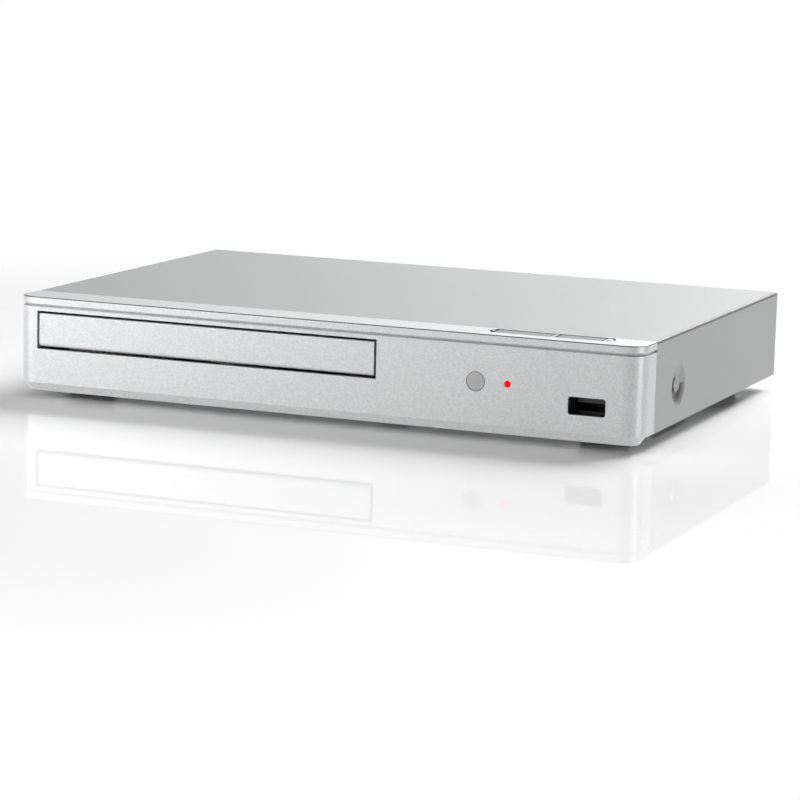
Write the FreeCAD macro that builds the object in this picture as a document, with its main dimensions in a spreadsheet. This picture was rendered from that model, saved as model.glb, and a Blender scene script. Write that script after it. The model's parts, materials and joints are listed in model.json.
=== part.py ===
import FreeCAD, Part
import math
import os
import re

import Sketcher
from FreeCAD import Placement, Rotation, Vector

os.makedirs("parts", exist_ok=True)

# A compact blu-ray player that stands on four rubber feet.
# The origin is on the surface it stands on, under the middle of its box.
# +X is to the right seen from the front, -Y is the front, +Z is up.
# All sizes are in millimetres.

# Driving sizes
SIZES = {
    # Casing
    "case_width": 245.0,
    "case_depth": 172.0,
    "case_height": 38.5,
    "rear_proud": 3.0,
    "sheet": 0.8,
    "panel_wall": 2.2,
    "ledge_depth": 16.0,
    "corner_radius": 7.0,
    "side_bottom": 5.75,
    "chin_bottom": 3.0,
    "chin_height": 3.2,
    "chin_setback": 2.4,
    "chin_return": 0.3,
    "groove_bottom": 34.7,
    "groove_height": 1.3,
    "groove_depth": 0.9,
    "cover_bend": 1.1,
    "seam_gap": 0.2,
    "lip_length": 5.0,
    "lip_wall": 1.2,
    "touch_gap": 0.1,
    "fit_gap": 0.02,
    # How far a cutter or a boss runs past the face it meets
    "past": 1.0,
    "chassis_flange": 22.0,
    "dimple_from_front": 43.2,
    "dimple_height": 19.45,
    "dimple_radius": 7.9,
    "dimple_floor_radius": 4.2,
    "dimple_depth": 1.5,
    "rear_fold": 7.0,
    "panel_floor": 6.75,
    "ledge_round": 0.5,
    "chassis_setback": 7.4,
    "flange_gap": 0.6,
    "emboss_x": 45.0,
    "emboss_height": 0.85,
    "emboss_radius": 4.0,
    "emboss_front": 45.0,
    "emboss_rear": 40.0,
    "floor_vent_left": 40.0,
    "floor_vent_front": -20.0,
    "floor_vent_rear": 20.0,
    "floor_vent_span": 66.0,
    "floor_vent_count": 12,
    "rear_vent_left": -92.0,
    "rear_vent_low": 14.0,
    "rear_vent_high": 28.0,
    "rear_vent_span": 100.0,
    "rear_vent_count": 21,
    "vent_radius": 1.2,
    # Feet and screws
    "foot_radius": 8.5,
    "foot_top_radius": 9.3,
    "foot_inset_x": 20.0,
    "foot_inset_front": 22.0,
    "foot_inset_rear": 16.0,
    "foot_peg_radius": 2.5,
    "foot_peg": 1.0,
    "foot_catch": 0.4,
    "foot_round": 1.0,
    "screw_radius": 1.5,
    "screw_head_radius": 2.8,
    "screw_head": 1.3,
    "screw_dome": 0.6,
    "screw_length": 5.0,
    "rear_screw_x": 98.0,
    "rear_screw_drop": 4.3,
    "tab_screw_rise": 2.45,
    "rear_tab_x": 112.0,
    "rear_tab": 6.0,
    "seat_radius": 6.0,
    "screw_bite": 1.9,
    # Front openings
    "door_middle": -45.5,
    "door_width": 134.9,
    "door_bottom": 19.95,
    "door_height": 12.4,
    "door_gap": 0.95,
    "door_wall": 1.8,
    "door_thickness": 2.6,
    "door_edge_round": 1.2,
    "window_x": 61.0,
    "window_z": 21.45,
    "window_radius": 3.4,
    "window_gap": 0.15,
    "lamp_x": 73.0,
    "lamp_radius": 1.1,
    "usb_x": 102.6,
    "usb_z": 15.85,
    "usb_mouth_width": 13.9,
    "usb_mouth_height": 6.4,
    "usb_mouth_depth": 5.9,
    "usb_mouth_round": 1.0,
    "usb_sleeve_wall": 1.1,
    "usb_shell_width": 13.1,
    "usb_shell_height": 5.7,
    "usb_shell_length": 14.0,
    "usb_shell_wall": 0.3,
    "usb_shell_round": 0.6,
    "tongue_setback": 1.0,
    "tongue_base": 3.0,
    "tongue_half": 5.6,
    "tongue_low": 0.4,
    "tongue_high": 2.2,
    "tongue_round": 0.4,
    "lens_round": 0.3,
    "lamp_flange": 0.6,
    # Top buttons
    "slot_left": 62.0,
    "slot_right": 109.0,
    "slot_front": 6.5,
    "slot_rear": 15.0,
    "slot_tip": 1.7,
    "slot_bit_gap": 0.7,
    "power_left": 64.35,
    "power_right": 84.95,
    "eject_left": 87.85,
    "eject_right": 104.45,
    "button_side_gap": 0.7,
    "button_front_gap": 1.0,
    "button_round": 0.3,
    "button_cap": 2.0,
    "button_travel": 0.5,
    "button_rest_gap": 0.6,
    "stem_radius": 1.8,
    "stem_behind_middle": 1.2,
    "collar_height": 0.8,
    "frame_plate": 1.2,
    "frame_flange": 2.0,
    "power_stem_x": 74.6,
    "eject_stem_x": 91.2,
    # Disc loader
    "disc_radius": 60.0,
    "small_disc_radius": 40.0,
    "disc_clearance": 0.7,
    "disc_from_front": 66.0,
    "disc_recess": 2.4,
    "small_recess": 1.2,
    "disc_thickness": 1.2,
    "tray_width": 128.0,
    "tray_length": 154.7,
    "tray_top": 31.0,
    "tray_plate": 1.2,
    "tray_skirt": 1.6,
    "skirt_bottom": 22.5,
    "runner_width": 2.5,
    "runner_height": 1.6,
    "runner_gap": 0.3,
    "frame_wall": 2.2,
    "loader_setback": 1.6,
    "frame_length": 160.0,
    "frame_base": 7.0,
    "frame_floor": 2.0,
    "frame_top": 30.0,
    "ledge_width": 2.8,
    "loader_screw_x": 60.0,
    "loader_screw_front": 36.0,
    "loader_screw_rear": 22.0,
    "tab_width": 9.0,
    "tab_sheet": 1.6,
    "tab_reach": 2.3,
    "tab_from_front": 12.0,
    "tab_behind_disc": 24.0,
    "tab_from_rear": 20.0,
    "tray_rim": 1.6,
    "recess_wall": 1.5,
    "small_recess_wall": 1.3,
    "tray_slot_radius": 18.0,
    "frame_beam": 8.0,
    # Gears that drive the tray
    "gear_module": 0.8,
    "pressure_angle": 20.0,
    "addendum": 0.85,
    "dedendum": 1.15,
    "cutter_reach": 1.1,
    "tooth_past": 0.3,
    "tooth_backlash": 0.16,
    "rack_from_middle": 54.6,
    "rack_back": 3.0,
    "rack_above_wheel": 2.8,
    "rack_gap_rise": 1.2,
    "rack_gaps": 58,
    "rack_gaps_ahead": 4,
    "pinion_teeth": 14,
    "wheel_teeth": 40,
    "pulley_pinion_teeth": 14,
    "gear_from_front": 21.0,
    "wheel_bottom": 16.0,
    "wheel_height": 3.2,
    "wheel_rim": 1.5,
    "pulley_gear_drop": 0.2,
    "pinion_extra": 0.6,
    "post_radius": 1.8,
    "shaft_gap": 0.05,
    "pulley_radius": 9.6,
    "motor_pulley_radius": 3.2,
    "pulley_height": 3.0,
    "belt_thickness": 1.2,
    "belt_level": 23.6,
    "motor_radius": 12.2,
    "motor_height": 11.6,
    "motor_lift": 0.3,
    "motor_gap": 0.4,
    "motor_chamfer": 0.8,
    "shaft_in_motor": 2.0,
    "shaft_past_pulley": 0.3,
    "motor_from_gear": 33.0,
    "motor_forward": 1.5,
    "motor_shaft_radius": 0.75,
    "pulley_rim": 1.0,
    "belt_gap": 0.15,
    "deck_sheet": 1.6,
    "deck_half": 15.0,
    "deck_leg": 4.0,
    "deck_front_cut": 2.0,
    "deck_rear_cut": 4.0,
    "deck_hole_gap": 1.4,
    "collar_radius": 3.2,
    "wheel_web": 1.6,
    # Spindle, traverse and pickup
    "seat_level": 30.3,
    "turntable_radius": 14.0,
    "hub_radius": 7.4,
    "hub_height": 2.3,
    "hub_chamfer": 1.0,
    "pivot_from_spindle": 85.5,
    "pivot_level": 19.5,
    "pivot_radius": 2.5,
    "lower_drop": 6.0,
    "ring_half_width": 41.0,
    "ring_bar": 6.0,
    "ring_bottom": 17.0,
    "ring_height": 4.2,
    "ring_behind_pivot": 4.0,
    "well_gap": 0.6,
    "well_rear": 6.0,
    "ring_front": 25.5,
    "plate_bottom": 21.9,
    "plate_sheet": 1.0,
    "plate_half_width": 41.0,
    "window_half_width": 30.0,
    "window_front": 13.6,
    "window_rear_gap": 1.4,
    "rod_radius": 1.5,
    "rod_from_middle": 24.0,
    "rod_level": 19.8,
    "rod_start": 8.0,
    "rod_end_gap": 9.0,
    "pickup_inner": 24.0,
    "pickup_half_width": 28.0,
    "pickup_length": 24.0,
    "pickup_bottom": 16.4,
    "pickup_top": 24.6,
    "pickup_round": 1.5,
    "pickup_ahead_of_lens": 10.0,
    "pickup_pocket": 2.0,
    "pickup_pocket_side": 12.0,
    "pickup_pocket_front": 5.0,
    "lens_well": 4.0,
    "lens_well_gap": 0.25,
    "lens_radius": 2.4,
    "lens_gap": 1.2,
    "lens_bevel": 0.5,
    "lens_dome": 0.7,
    "screw_from_middle": 30.5,
    "lead_screw_level": 17.9,
    "lead_screw_radius": 1.3,
    "lead": 3.0,
    "screw_start": 9.0,
    "thread_depth": 0.25,
    "thread_start": 4.0,
    "thread_flat": 1.5,
    "thread_flank": 0.4,
    "thread_turns": 18,
    "sled_motor_radius": 3.9,
    "sled_motor_length": 10.0,
    "sled_chamfer": 0.4,
    "isolator_radius": 3.6,
    "isolator_neck": 2.4,
    "isolator_flange": 1.1,
    "isolator_x": 37.0,
    "isolator_from_end": 5.0,
    "isolator_from_pivot": 6.0,
    "trunnion_length": 5.0,
    "block_depth": 9.0,
    "block_rise": 4.6,
    "block_gap": 0.4,
    "block_outer": 6.0,
    "shaft_radius": 1.0,
    "bearing_radius": 6.0,
    "bearing_flange": 1.6,
    "bearing_step": 0.3,
    "bearing_hole_gap": 0.4,
    "stator_radius": 9.0,
    "stator_height": 2.2,
    "shaft_end_gap": 0.3,
    "shaft_below_hub": 0.5,
    "bell_radius": 11.5,
    "bell_wall": 0.8,
    "bell_height": 4.0,
    "turntable_plate": 2.4,
    "pad_radius": 13.6,
    "pad_inner_radius": 10.0,
    "pad_depth": 0.5,
    "rod_tab": 1.6,
    "rod_tab_half": 2.3,
    "rod_tab_drop": 2.4,
    "screw_tab_drop": 2.6,
    "screw_tab_side": 3.0,
    "turret_radius": 6.5,
    "turret_height": 3.0,
    "arm_half": 3.0,
    "arm_inner": 4.0,
    "crescent_radius": 15.2,
    # Cam slider
    "cam_stroke": 20.0,
    "cam_pin_radius": 1.3,
    "cam_pin_x": 12.0,
    "cam_pin_level": 20.3,
    "cam_thickness": 3.0,
    "cam_bottom": 9.2,
    "cam_height": 14.6,
    "cam_half_width": 34.0,
    "cam_clearance": 0.3,
    "cam_round": 1.5,
    "cam_hole_start": 6.0,
    "cam_hole_end": 12.0,
    "cam_hole_radius": 3.0,
    "cam_wall": 2.0,
    "cam_wall_past": 4.0,
    "cam_wall_drop": 3.6,
    "cam_pin_length": 3.2,
    "hook_half": 2.0,
    "hook_sheet": 1.5,
    "hook_reach": 1.8,
    "hook_left": 10.5,
    "hook_right": 23.5,
    # Clamp
    "bridge_depth": 36.0,
    "bridge_bottom": 33.9,
    "bridge_sheet": 1.0,
    "clamper_radius": 12.5,
    "clamper_flange": 16.0,
    "clamper_hole_gap": 1.2,
    "bridge_flange": 1.5,
    "bridge_screw_y": 11.0,
    "bridge_post": 8.0,
    "bridge_post_width": 5.0,
    "bridge_side_gap": 0.3,
    "clamper_plate": 0.8,
    "clamper_web": 1.6,
    "clamper_floor": 0.7,
    "clamper_hub_gap": 0.4,
    "magnet_radius": 8.8,
    "magnet_height": 1.6,
    "magnet_hole": 2.0,
    # Circuit boards
    "board_sheet": 1.6,
    "board_level": 11.0,
    "main_board_left": 31.5,
    "main_board_right": 85.5,
    "main_board_front": -60.0,
    "power_board_left": 88.5,
    "power_board_right": 119.0,
    "power_board_front": -58.0,
    "board_rear_gap": 2.5,
    "board_gap": 0.3,
    "post_inset": 4.0,
    "rear_post_inset": 22.0,
    "front_board_left": 52.0,
    "front_board_right": 116.0,
    "front_board_depth": 19.0,
    "front_board_level": 11.2,
    "standoff_radius": 3.0,
    # Switches, receiver and lamp on the front board
    "switch_half": 3.0,
    "switch_body": 3.5,
    "switch_plunger": 1.5,
    "receiver_half": 3.5,
    "receiver_rise": 3.2,
    "receiver_setback": 0.3,
    "receiver_depth": 4.0,
    "receiver_round": 0.4,
    "receiver_dome": 2.2,
    "led_setback": 1.4,
    "led_length": 3.4,
    "led_radius": 1.5,
    "led_rim": 0.4,
    "led_leg_x": 0.9,
    "led_leg_half": 0.25,
    # Chip, heat sink and capacitors
    "chip_left_of_middle": 4.0,
    "chip_from_front": 62.0,
    "chip_half": 12.0,
    "chip_height": 2.2,
    "sink_half": 14.0,
    "sink_height": 11.0,
    "sink_base": 2.4,
    "sink_fin": 1.4,
    "sink_slot": 3.2,
    "sink_pitch": 4.4,
    "sink_slots": 6,
    "can_crimp_level": 1.0,
    "can_crimp": 0.3,
    "can_crimp_rise": 0.4,
    "can_rim": 1.2,
    "can_dish": 0.4,
    "board_can_radius": 3.2,
    "board_can_height": 9.0,
    "board_can_pitch": 12.0,
    "board_can_from_chip": 26.0,
    "mains_can_radius": 5.0,
    "mains_can_height": 18.0,
    "mains_can_pitch": 12.0,
    "mains_can_from_trafo": 20.0,
    # Transformer
    "trafo_from_front": 76.0,
    "trafo_half_x": 11.0,
    "trafo_half_y": 10.0,
    "trafo_foot": 3.0,
    "trafo_coil": 11.0,
    "trafo_coil_half": 8.0,
    "trafo_coil_round": 2.0,
    "trafo_core_level": 4.0,
    "trafo_core": 9.0,
    "trafo_core_half_x": 12.0,
    "trafo_core_half_y": 5.0,
    "trafo_cap": 2.0,
    # Flat ribbons
    "ribbon": 0.3,
    "ribbon_bend": 1.0,
    "ribbon_width": 16.0,
    "ribbon_from_left": 24.0,
    "ribbon_rise": 9.0,
    "ribbon_on_board": 4.0,
    "ribbon_on_front_board": 3.0,
    "pickup_ribbon_width": 8.0,
    "pickup_ribbon_front": 3.0,
    "pickup_ribbon_rise": 6.0,
    "pickup_ribbon_gap": 2.0,
    "pickup_ribbon_on_board": 10.0,
    # Rear sockets
    "hdmi_x": 40.0,
    "lan_x": 58.5,
    "coax_x": 76.5,
    "inlet_x": 104.0,
    "inlet_level": 22.0,
    "hdmi_width": 15.0,
    "hdmi_height": 5.8,
    "hdmi_length": 12.0,
    "socket_proud": 0.3,
    "hdmi_taper": 1.6,
    "hdmi_shoulder": 2.2,
    "hdmi_back": 2.0,
    "hdmi_wall": 0.5,
    "hdmi_tongue_inset": 3.2,
    "hdmi_tongue_low": 2.6,
    "hdmi_tongue": 1.0,
    "hdmi_tongue_setback": 1.5,
    "lan_width": 15.9,
    "lan_height": 13.4,
    "lan_length": 16.0,
    "lan_cavity": 12.0,
    "lan_half": 6.0,
    "lan_low": 1.6,
    "lan_shoulder": 9.4,
    "lan_key_half": 2.9,
    "lan_key_top": 11.6,
    "coax_radius": 4.2,
    "coax_rise": 2.2,
    "coax_block_half": 5.0,
    "coax_block": 12.0,
    "coax_hole": 1.7,
    "coax_hole_depth": 5.0,
    "coax_setback": 0.3,
    "inlet_width": 20.4,
    "inlet_height": 12.6,
    "inlet_length": 17.0,
    "inlet_round": 2.0,
    "inlet_flange": 1.4,
    "inlet_lip": 1.6,
    "inlet_flange_round": 2.4,
    "inlet_pin_back": 3.0,
    "inlet_hole_width": 15.6,
    "inlet_hole_height": 8.2,
    "inlet_hole_depth": 11.0,
    "inlet_pin_radius": 1.2,
    "inlet_pin_spacing": 8.6,
}

# Places and sizes that follow from the driving sizes
PLACES = {
    "half_width": "case_width / 2",
    "front_y": "-(case_depth + rear_proud) / 2",
    "rear_y": "front_y + case_depth",
    "seam_y": "front_y + ledge_depth",
    "cover_inner_x": "half_width - sheet",
    "cover_inner_z": "case_height - sheet",
    "chassis_bottom": "side_bottom - sheet",
    "chassis_x": "half_width - dimple_depth - sheet",
    "rear_wall_y": "rear_y - sheet",
    "rear_inner_y": "rear_wall_y - sheet",
    "panel_inner_y": "front_y + panel_wall",
    "door_left": "door_middle - door_width / 2",
    "door_right": "door_middle + door_width / 2",
    "door_top": "door_bottom + door_height",
    "tray_front": "front_y + door_thickness",
    "tray_rear": "tray_front + tray_length",
    "disc_y": "front_y + disc_from_front",
    "disc_floor": "tray_top - disc_recess",
    "small_floor": "disc_floor - small_recess",
    "tray_under": "small_floor - tray_plate",
    "runner_x": "tray_width / 2 + runner_width",
    "wall_x": "runner_x + runner_gap",
    "frame_half": "wall_x + frame_wall",
    "frame_front": "panel_inner_y + loader_setback",
    "frame_rear": "frame_front + frame_length",
    "ledge_top": "skirt_bottom - runner_gap",
    "loader_front_y": "frame_front + loader_screw_front",
    "loader_rear_y": "frame_rear - loader_screw_rear",
    "pinion_pitch": "gear_module * pinion_teeth / 2",
    "wheel_pitch": "gear_module * wheel_teeth / 2",
    "pulley_pinion_pitch": "gear_module * pulley_pinion_teeth / 2",
    "gear_x": "door_middle - rack_from_middle + pinion_pitch",
    "gear_y": "frame_front + gear_from_front",
    "pulley_gear_x": "gear_x + wheel_pitch + pulley_pinion_pitch",
    "motor_x": "pulley_gear_x + motor_from_gear",
    "motor_y": "gear_y - motor_forward",
    "motor_bottom": "frame_base + motor_lift",
    "motor_top": "motor_bottom + motor_height",
    "deck_front": "motor_y - deck_half + deck_front_cut",
    "deck_rear": "motor_y + deck_half - deck_rear_cut",
    "frame_floor_top": "frame_base + frame_floor",
    "pivot_y": "disc_y + pivot_from_spindle",
    "ring_y": "disc_y - ring_front",
    "cam_y": "ring_y - cam_clearance - cam_thickness",
    "cam_drop": "(pivot_y - cam_y) * lower_drop / pivot_from_spindle",
    "bridge_top": "bridge_bottom + bridge_sheet",
    "clamper_bottom": "seat_level + disc_thickness + touch_gap",
    "board_top": "board_level + board_sheet",
    "board_rear": "rear_wall_y - board_rear_gap",
    "front_board_top": "front_board_level + board_sheet",
    "slot_front_y": "front_y + slot_front",
    "slot_rear_y": "front_y + slot_rear",
    "slot_middle_y": "(slot_front_y + slot_rear_y) / 2",
    "usb_back_y": "front_y + usb_mouth_depth",
    "led_back": "panel_inner_y + led_setback + led_length",
    "plate_top": "plate_bottom + plate_sheet",
    "rod_front": "disc_y + rod_start",
    "rod_back": "pivot_y - rod_end_gap",
    "lip_x": "cover_inner_x - touch_gap",
    "lip_z": "cover_inner_z - touch_gap",
    "dimple_y": "front_y + dimple_from_front",
    "chassis_front": "front_y + chassis_setback",
    "chassis_flange_y": "seam_y + lip_length + flange_gap",
    "chassis_flange_top": "chassis_bottom + chassis_flange",
    "rear_tab_top": "chassis_bottom + rear_tab",
    "rear_screw_z": "case_height - rear_screw_drop",
    "tab_screw_z": "side_bottom + tab_screw_rise",
    "rear_panel_x": "chassis_x - sheet - seam_gap",
    "shank_radius": "screw_radius - 2 * touch_gap",
    "pilot_radius": "screw_radius - touch_gap",
    "clear_radius": "screw_radius + touch_gap",
    "foot_x": "half_width - foot_inset_x",
    "foot_front_y": "front_y + foot_inset_front",
    "foot_rear_y": "rear_y - foot_inset_rear",
    "emboss_front_y": "front_y + emboss_front",
    "emboss_rear_y": "rear_y - emboss_rear",
    "main_post_front_y": "main_board_front + post_inset",
    "main_post_rear_y": "board_rear - rear_post_inset",
    "power_post_front_y": "power_board_front + post_inset",
    "power_post_rear_y": "board_rear - rear_post_inset",
    "front_post_y": "seam_y + standoff_radius + board_gap",
    "front_board_y": "front_y + usb_mouth_depth + seam_gap",
    "front_board_rear": "front_board_y + front_board_depth",
    "hdmi_top": "board_top + hdmi_height",
    "lan_top": "board_top + lan_height",
    "coax_z": "board_top + coax_radius + coax_rise",
    "stem_y": "slot_middle_y + stem_behind_middle",
    "button_top": "case_height - touch_gap",
    "cap_bottom": "button_top - button_cap",
    "button_floor": "cap_bottom - button_travel - touch_gap",
    "frame_plate_bottom": "button_floor - frame_plate",
    "switch_top": "front_board_top + switch_body + switch_plunger",
    "stem_bottom": "switch_top + button_rest_gap",
    "bridge_screw_x": "wall_x + bridge_post_width / 2",
    "wheel_root": "wheel_pitch - dedendum * gear_module",
    "pinion_tip": "pinion_pitch + addendum * gear_module",
    "wheel_tip": "wheel_pitch + addendum * gear_module",
    "tooth_pitch": "pi * gear_module",
    "radian": "180 / pi",
    "rack_x": "door_middle - rack_from_middle",
    "lens_y": "disc_y + pickup_inner",
    "ring_rear": "pivot_y + ring_behind_pivot",
    "isolator_front_y": "ring_y + isolator_from_end",
    "isolator_rear_y": "pivot_y - isolator_from_pivot",
    "screw_x": "door_middle + screw_from_middle",
    "plate_rear": "pivot_y - pivot_radius - seam_gap",
    "frame_beam_top": "frame_floor_top + frame_beam",
    "cam_wall_top": "cam_bottom + cam_height - cam_wall_drop",
    "hook_top": "cam_bottom + cam_height + cam_clearance + hook_sheet",
    "pulley_gear_bottom": "wheel_bottom - pulley_gear_drop",
    "pulley_pinion_height": "wheel_height + pinion_extra",
    "pinion_top": "tray_under - runner_gap",
    "chip_x": "(main_board_left + main_board_right) / 2 - chip_left_of_middle",
    "chip_y": "main_board_front + chip_from_front",
    "trafo_x": "(power_board_left + power_board_right) / 2",
    "trafo_y": "power_board_front + trafo_from_front",
    "rack_bottom": "wheel_bottom + wheel_height + rack_above_wheel",
}

SHEET = "sizes"
PLANES = {"XY": "XY_Plane", "XZ": "XZ_Plane", "YZ": "YZ_Plane"}
WORD = re.compile(r"[a-z][a-z_0-9]*")
# Two levels this close are the same
NEAR = 0.01

doc = FreeCAD.newDocument("bluray_player")
sheet = doc.addObject("Spreadsheet::Sheet", SHEET)
NODES = []


def fill_sheet():
    """Puts each driving size and each place in a cell of its own."""
    row = 0
    for alias, value in SIZES.items():
        row += 1
        sheet.set("A%d" % row, alias)
        sheet.set("B%d" % row, str(value))
        sheet.setAlias("B%d" % row, alias)
    for alias, formula in PLACES.items():
        row += 1
        sheet.set("A%d" % row, alias)
        sheet.set("B%d" % row, "=" + formula)
        sheet.setAlias("B%d" % row, alias)
    doc.recompute()


def cell(text):
    """An expression in which every known word points to its cell."""
    def link(match):
        word = match.group(0)
        return SHEET + "." + word if word in SIZES or word in PLACES else word
    return WORD.sub(link, str(text))


def value(text):
    """The number that an expression gives now."""
    return float(sheet.evalExpression(cell(text)))


def bind(item, **links):
    """Binds properties to expressions; a double underscore stands for a dot."""
    for name, text in links.items():
        item.setExpression(name.replace("__", "."), cell(text))


def place(item, x="0", y="0", z="0"):
    """Puts a piece where the sheet says."""
    bind(item, Placement__Base__x=x, Placement__Base__y=y, Placement__Base__z=z)


def node(item, label):
    """Names a finished sub-part, which becomes a node of its own."""
    item.Label = label
    NODES.append(item)
    return item


class Piece:
    """A body that grows by sketched features, each bound to the sheet."""

    def __init__(self, label):
        self.body = doc.addObject("PartDesign::Body", label)
        self.body.Label = label
        self.count = 0

    def name(self, kind):
        self.count += 1
        return "%s_%s_%d" % (self.body.Name, kind, self.count)

    def sketch(self, plane, at, loops, across="0", up="0"):
        """A sketch on an origin plane, moved along that plane's axis to at."""
        made = self.body.newObject("Sketcher::SketchObject", self.name("sketch"))
        origin = [item for item in self.body.Origin.OriginFeatures if item.Role == PLANES[plane]]
        made.AttachmentSupport = (origin[0], "")
        made.MapMode = "FlatFace"
        sign = "-" if plane == "XZ" else ""
        bind(made, AttachmentOffset__Base__z="%s(%s)" % (sign, at))
        bind(made, AttachmentOffset__Base__x=across, AttachmentOffset__Base__y=up)
        for loop in loops:
            loop(made)
        return made

    def feature(self, kind, plane, at, loops, reverse, across="0", up="0"):
        before = self.body.Tip
        volume = before.Shape.Volume if before else 0.0
        base = self.sketch(plane, at, loops, across, up)
        made = self.body.newObject("PartDesign::" + kind, self.name(kind.lower()))
        made.Profile = base
        made.Reversed = reverse
        return made, volume

    def pad(self, plane, at, length, *loops, taper=None):
        """Adds an extrusion that runs from at towards the positive axis."""
        made, before = self.feature("Pad", plane, at, loops, plane == "XZ")
        bind(made, Length=length)
        if taper is not None:
            bind(made, TaperAngle=taper)
        self.settle(made, before, 1)
        return self

    def cut(self, plane, at, length, *loops):
        """Cuts an extrusion that runs from at towards the positive axis."""
        made, before = self.feature("Pocket", plane, at, loops, plane != "XZ")
        bind(made, Length=length)
        self.settle(made, before, -1)
        return self

    def turn(self, *loops, plane="XZ", axis="V_Axis", at="0", across="0", up="0"):
        """Adds a revolved solid about the sketch's upright or level axis."""
        made, before = self.feature("Revolution", plane, at, loops, False, across, up)
        made.ReferenceAxis = (made.Profile[0], [axis])
        self.settle(made, before, 1)
        return self

    def groove(self, *loops, plane="XZ", axis="V_Axis", at="0", across="0", up="0"):
        """Cuts a revolved solid about the sketch's upright or level axis."""
        made, before = self.feature("Groove", plane, at, loops, False, across, up)
        made.ReferenceAxis = (made.Profile[0], [axis])
        self.settle(made, before, -1)
        return self

    def settle(self, made, before, sense):
        """Recomputes a feature and makes sure that it added or removed something."""
        doc.recompute([made.Profile[0], made])
        if made.Shape.isNull() or (made.Shape.Volume - before) * sense <= 0:
            raise RuntimeError(made.Name + " changes nothing")
        self.body.Tip = made

    def dress(self, kind, choose, **links):
        """Rounds or chamfers the edges that choose picks."""
        tip = self.body.Tip
        names = ["Edge%d" % (i + 1) for i, edge in enumerate(tip.Shape.Edges) if choose(edge)]
        if not names:
            raise RuntimeError(self.body.Label + " has no such edge")
        made = self.body.newObject("PartDesign::" + kind, self.name(kind.lower()))
        made.Base = (tip, names)
        if "Size2" in links:
            made.ChamferType = "Two distances"
        bind(made, **links)
        doc.recompute([made])
        if made.Shape.isNull() or not made.Shape.isValid():
            raise RuntimeError(made.Name + " failed")
        self.body.Tip = made
        return self

    def repeat(self, axis, length, times):
        """Repeats the last feature along an axis of the body."""
        tip = self.body.Tip
        made = self.body.newObject("PartDesign::LinearPattern", self.name("row"))
        made.Originals = [tip]
        origin = [item for item in self.body.Origin.OriginFeatures if item.Role == axis + "_Axis"]
        made.Direction = (origin[0], [""])
        bind(made, Length=length, Occurrences=times)
        self.body.Tip = made
        doc.recompute([made])
        return self

    def ring(self, times):
        """Repeats the last feature round the body's upright axis."""
        tip = self.body.Tip
        made = self.body.newObject("PartDesign::PolarPattern", self.name("ring"))
        made.Originals = [tip]
        origin = [item for item in self.body.Origin.OriginFeatures if item.Role == "Z_Axis"]
        made.Axis = (origin[0], [""])
        made.Angle = 360.0
        bind(made, Occurrences=times)
        self.body.Tip = made
        doc.recompute([made])
        return self

    def done(self, x="0", y="0", z="0"):
        """Places the body and makes it a node."""
        place(self.body, x, y, z)
        return node(self.body, self.body.Label)


def pin_point(made, item, end, x, y):
    """Fixes a point of a sketch at two expressions."""
    spot = made.addConstraint(Sketcher.Constraint("DistanceX", item, end, value(x)))
    made.setExpression("Constraints[%d]" % spot, cell(x))
    spot = made.addConstraint(Sketcher.Constraint("DistanceY", item, end, value(y)))
    made.setExpression("Constraints[%d]" % spot, cell(y))


def fix_radius(made, item, radius):
    spot = made.addConstraint(Sketcher.Constraint("Radius", item, value(radius)))
    made.setExpression("Constraints[%d]" % spot, cell(radius))


def add_arc(made, start, middle, end):
    """Draws an arc anticlockwise, and tells which of its ends lies at start."""
    turns_left = (middle - start).cross(end - middle).z > 0
    points = (start, middle, end) if turns_left else (end, middle, start)
    return made.addGeometry(Part.Arc(*points), False), 1 if turns_left else 2


def spot_of(corner):
    return Vector(value(corner[0]), value(corner[1]), 0)


def step_towards(corner, other):
    """The point one radius from a rounded corner, on the way to its neighbour."""
    x, y, radius = corner
    way = spot_of(other) - spot_of(corner)
    if abs(way.x) > abs(way.y):
        return ("(%s) %s (%s)" % (x, "+" if way.x > 0 else "-", radius), y)
    return (x, "(%s) %s (%s)" % (y, "+" if way.y > 0 else "-", radius))


def outline(*corners):
    """A closed outline; a square corner may have a radius as its third value."""

    def draw(made):
        entries = []
        exits = []
        for index, corner in enumerate(corners):
            after = corners[(index + 1) % len(corners)]
            rounded = len(corner) == 3
            entries.append(step_towards(corner, corners[index - 1]) if rounded else corner)
            exits.append(step_towards(corner, after) if rounded else corner)
        lines = []
        for index in range(len(corners)):
            first = exits[index]
            last = entries[(index + 1) % len(corners)]
            line = made.addGeometry(Part.LineSegment(spot_of(first), spot_of(last)), False)
            pin_point(made, line, 1, *first)
            lines.append(line)
        for index, corner in enumerate(corners):
            before = lines[index - 1]
            if len(corner) == 2:
                made.addConstraint(Sketcher.Constraint("Coincident", before, 2, lines[index], 1))
                continue
            start = spot_of(entries[index])
            end = spot_of(exits[index])
            centre = start + end - spot_of(corner)
            middle = centre + (spot_of(corner) - centre).normalize() * value(corner[2])
            arc, first_end = add_arc(made, start, middle, end)
            pin_point(made, before, 2, *entries[index])
            made.addConstraint(Sketcher.Constraint("Coincident", arc, first_end, before, 2))
            made.addConstraint(Sketcher.Constraint("Coincident", arc, 3 - first_end, lines[index], 1))
            fix_radius(made, arc, corner[2])

    return draw


def box(left, low, right, high, radius=None):
    """A rectangle between two corners, with rounded corners if a radius is given."""
    ends = ((left, low), (right, low), (right, high), (left, high))
    return outline(*(end if radius is None else end + (radius,) for end in ends))


def frame_of(middle, half, low, high, radius=None):
    """A rectangle that is centred on a line."""
    return box("%s - (%s)" % (middle, half), low, "%s + (%s)" % (middle, half), high, radius)


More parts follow.
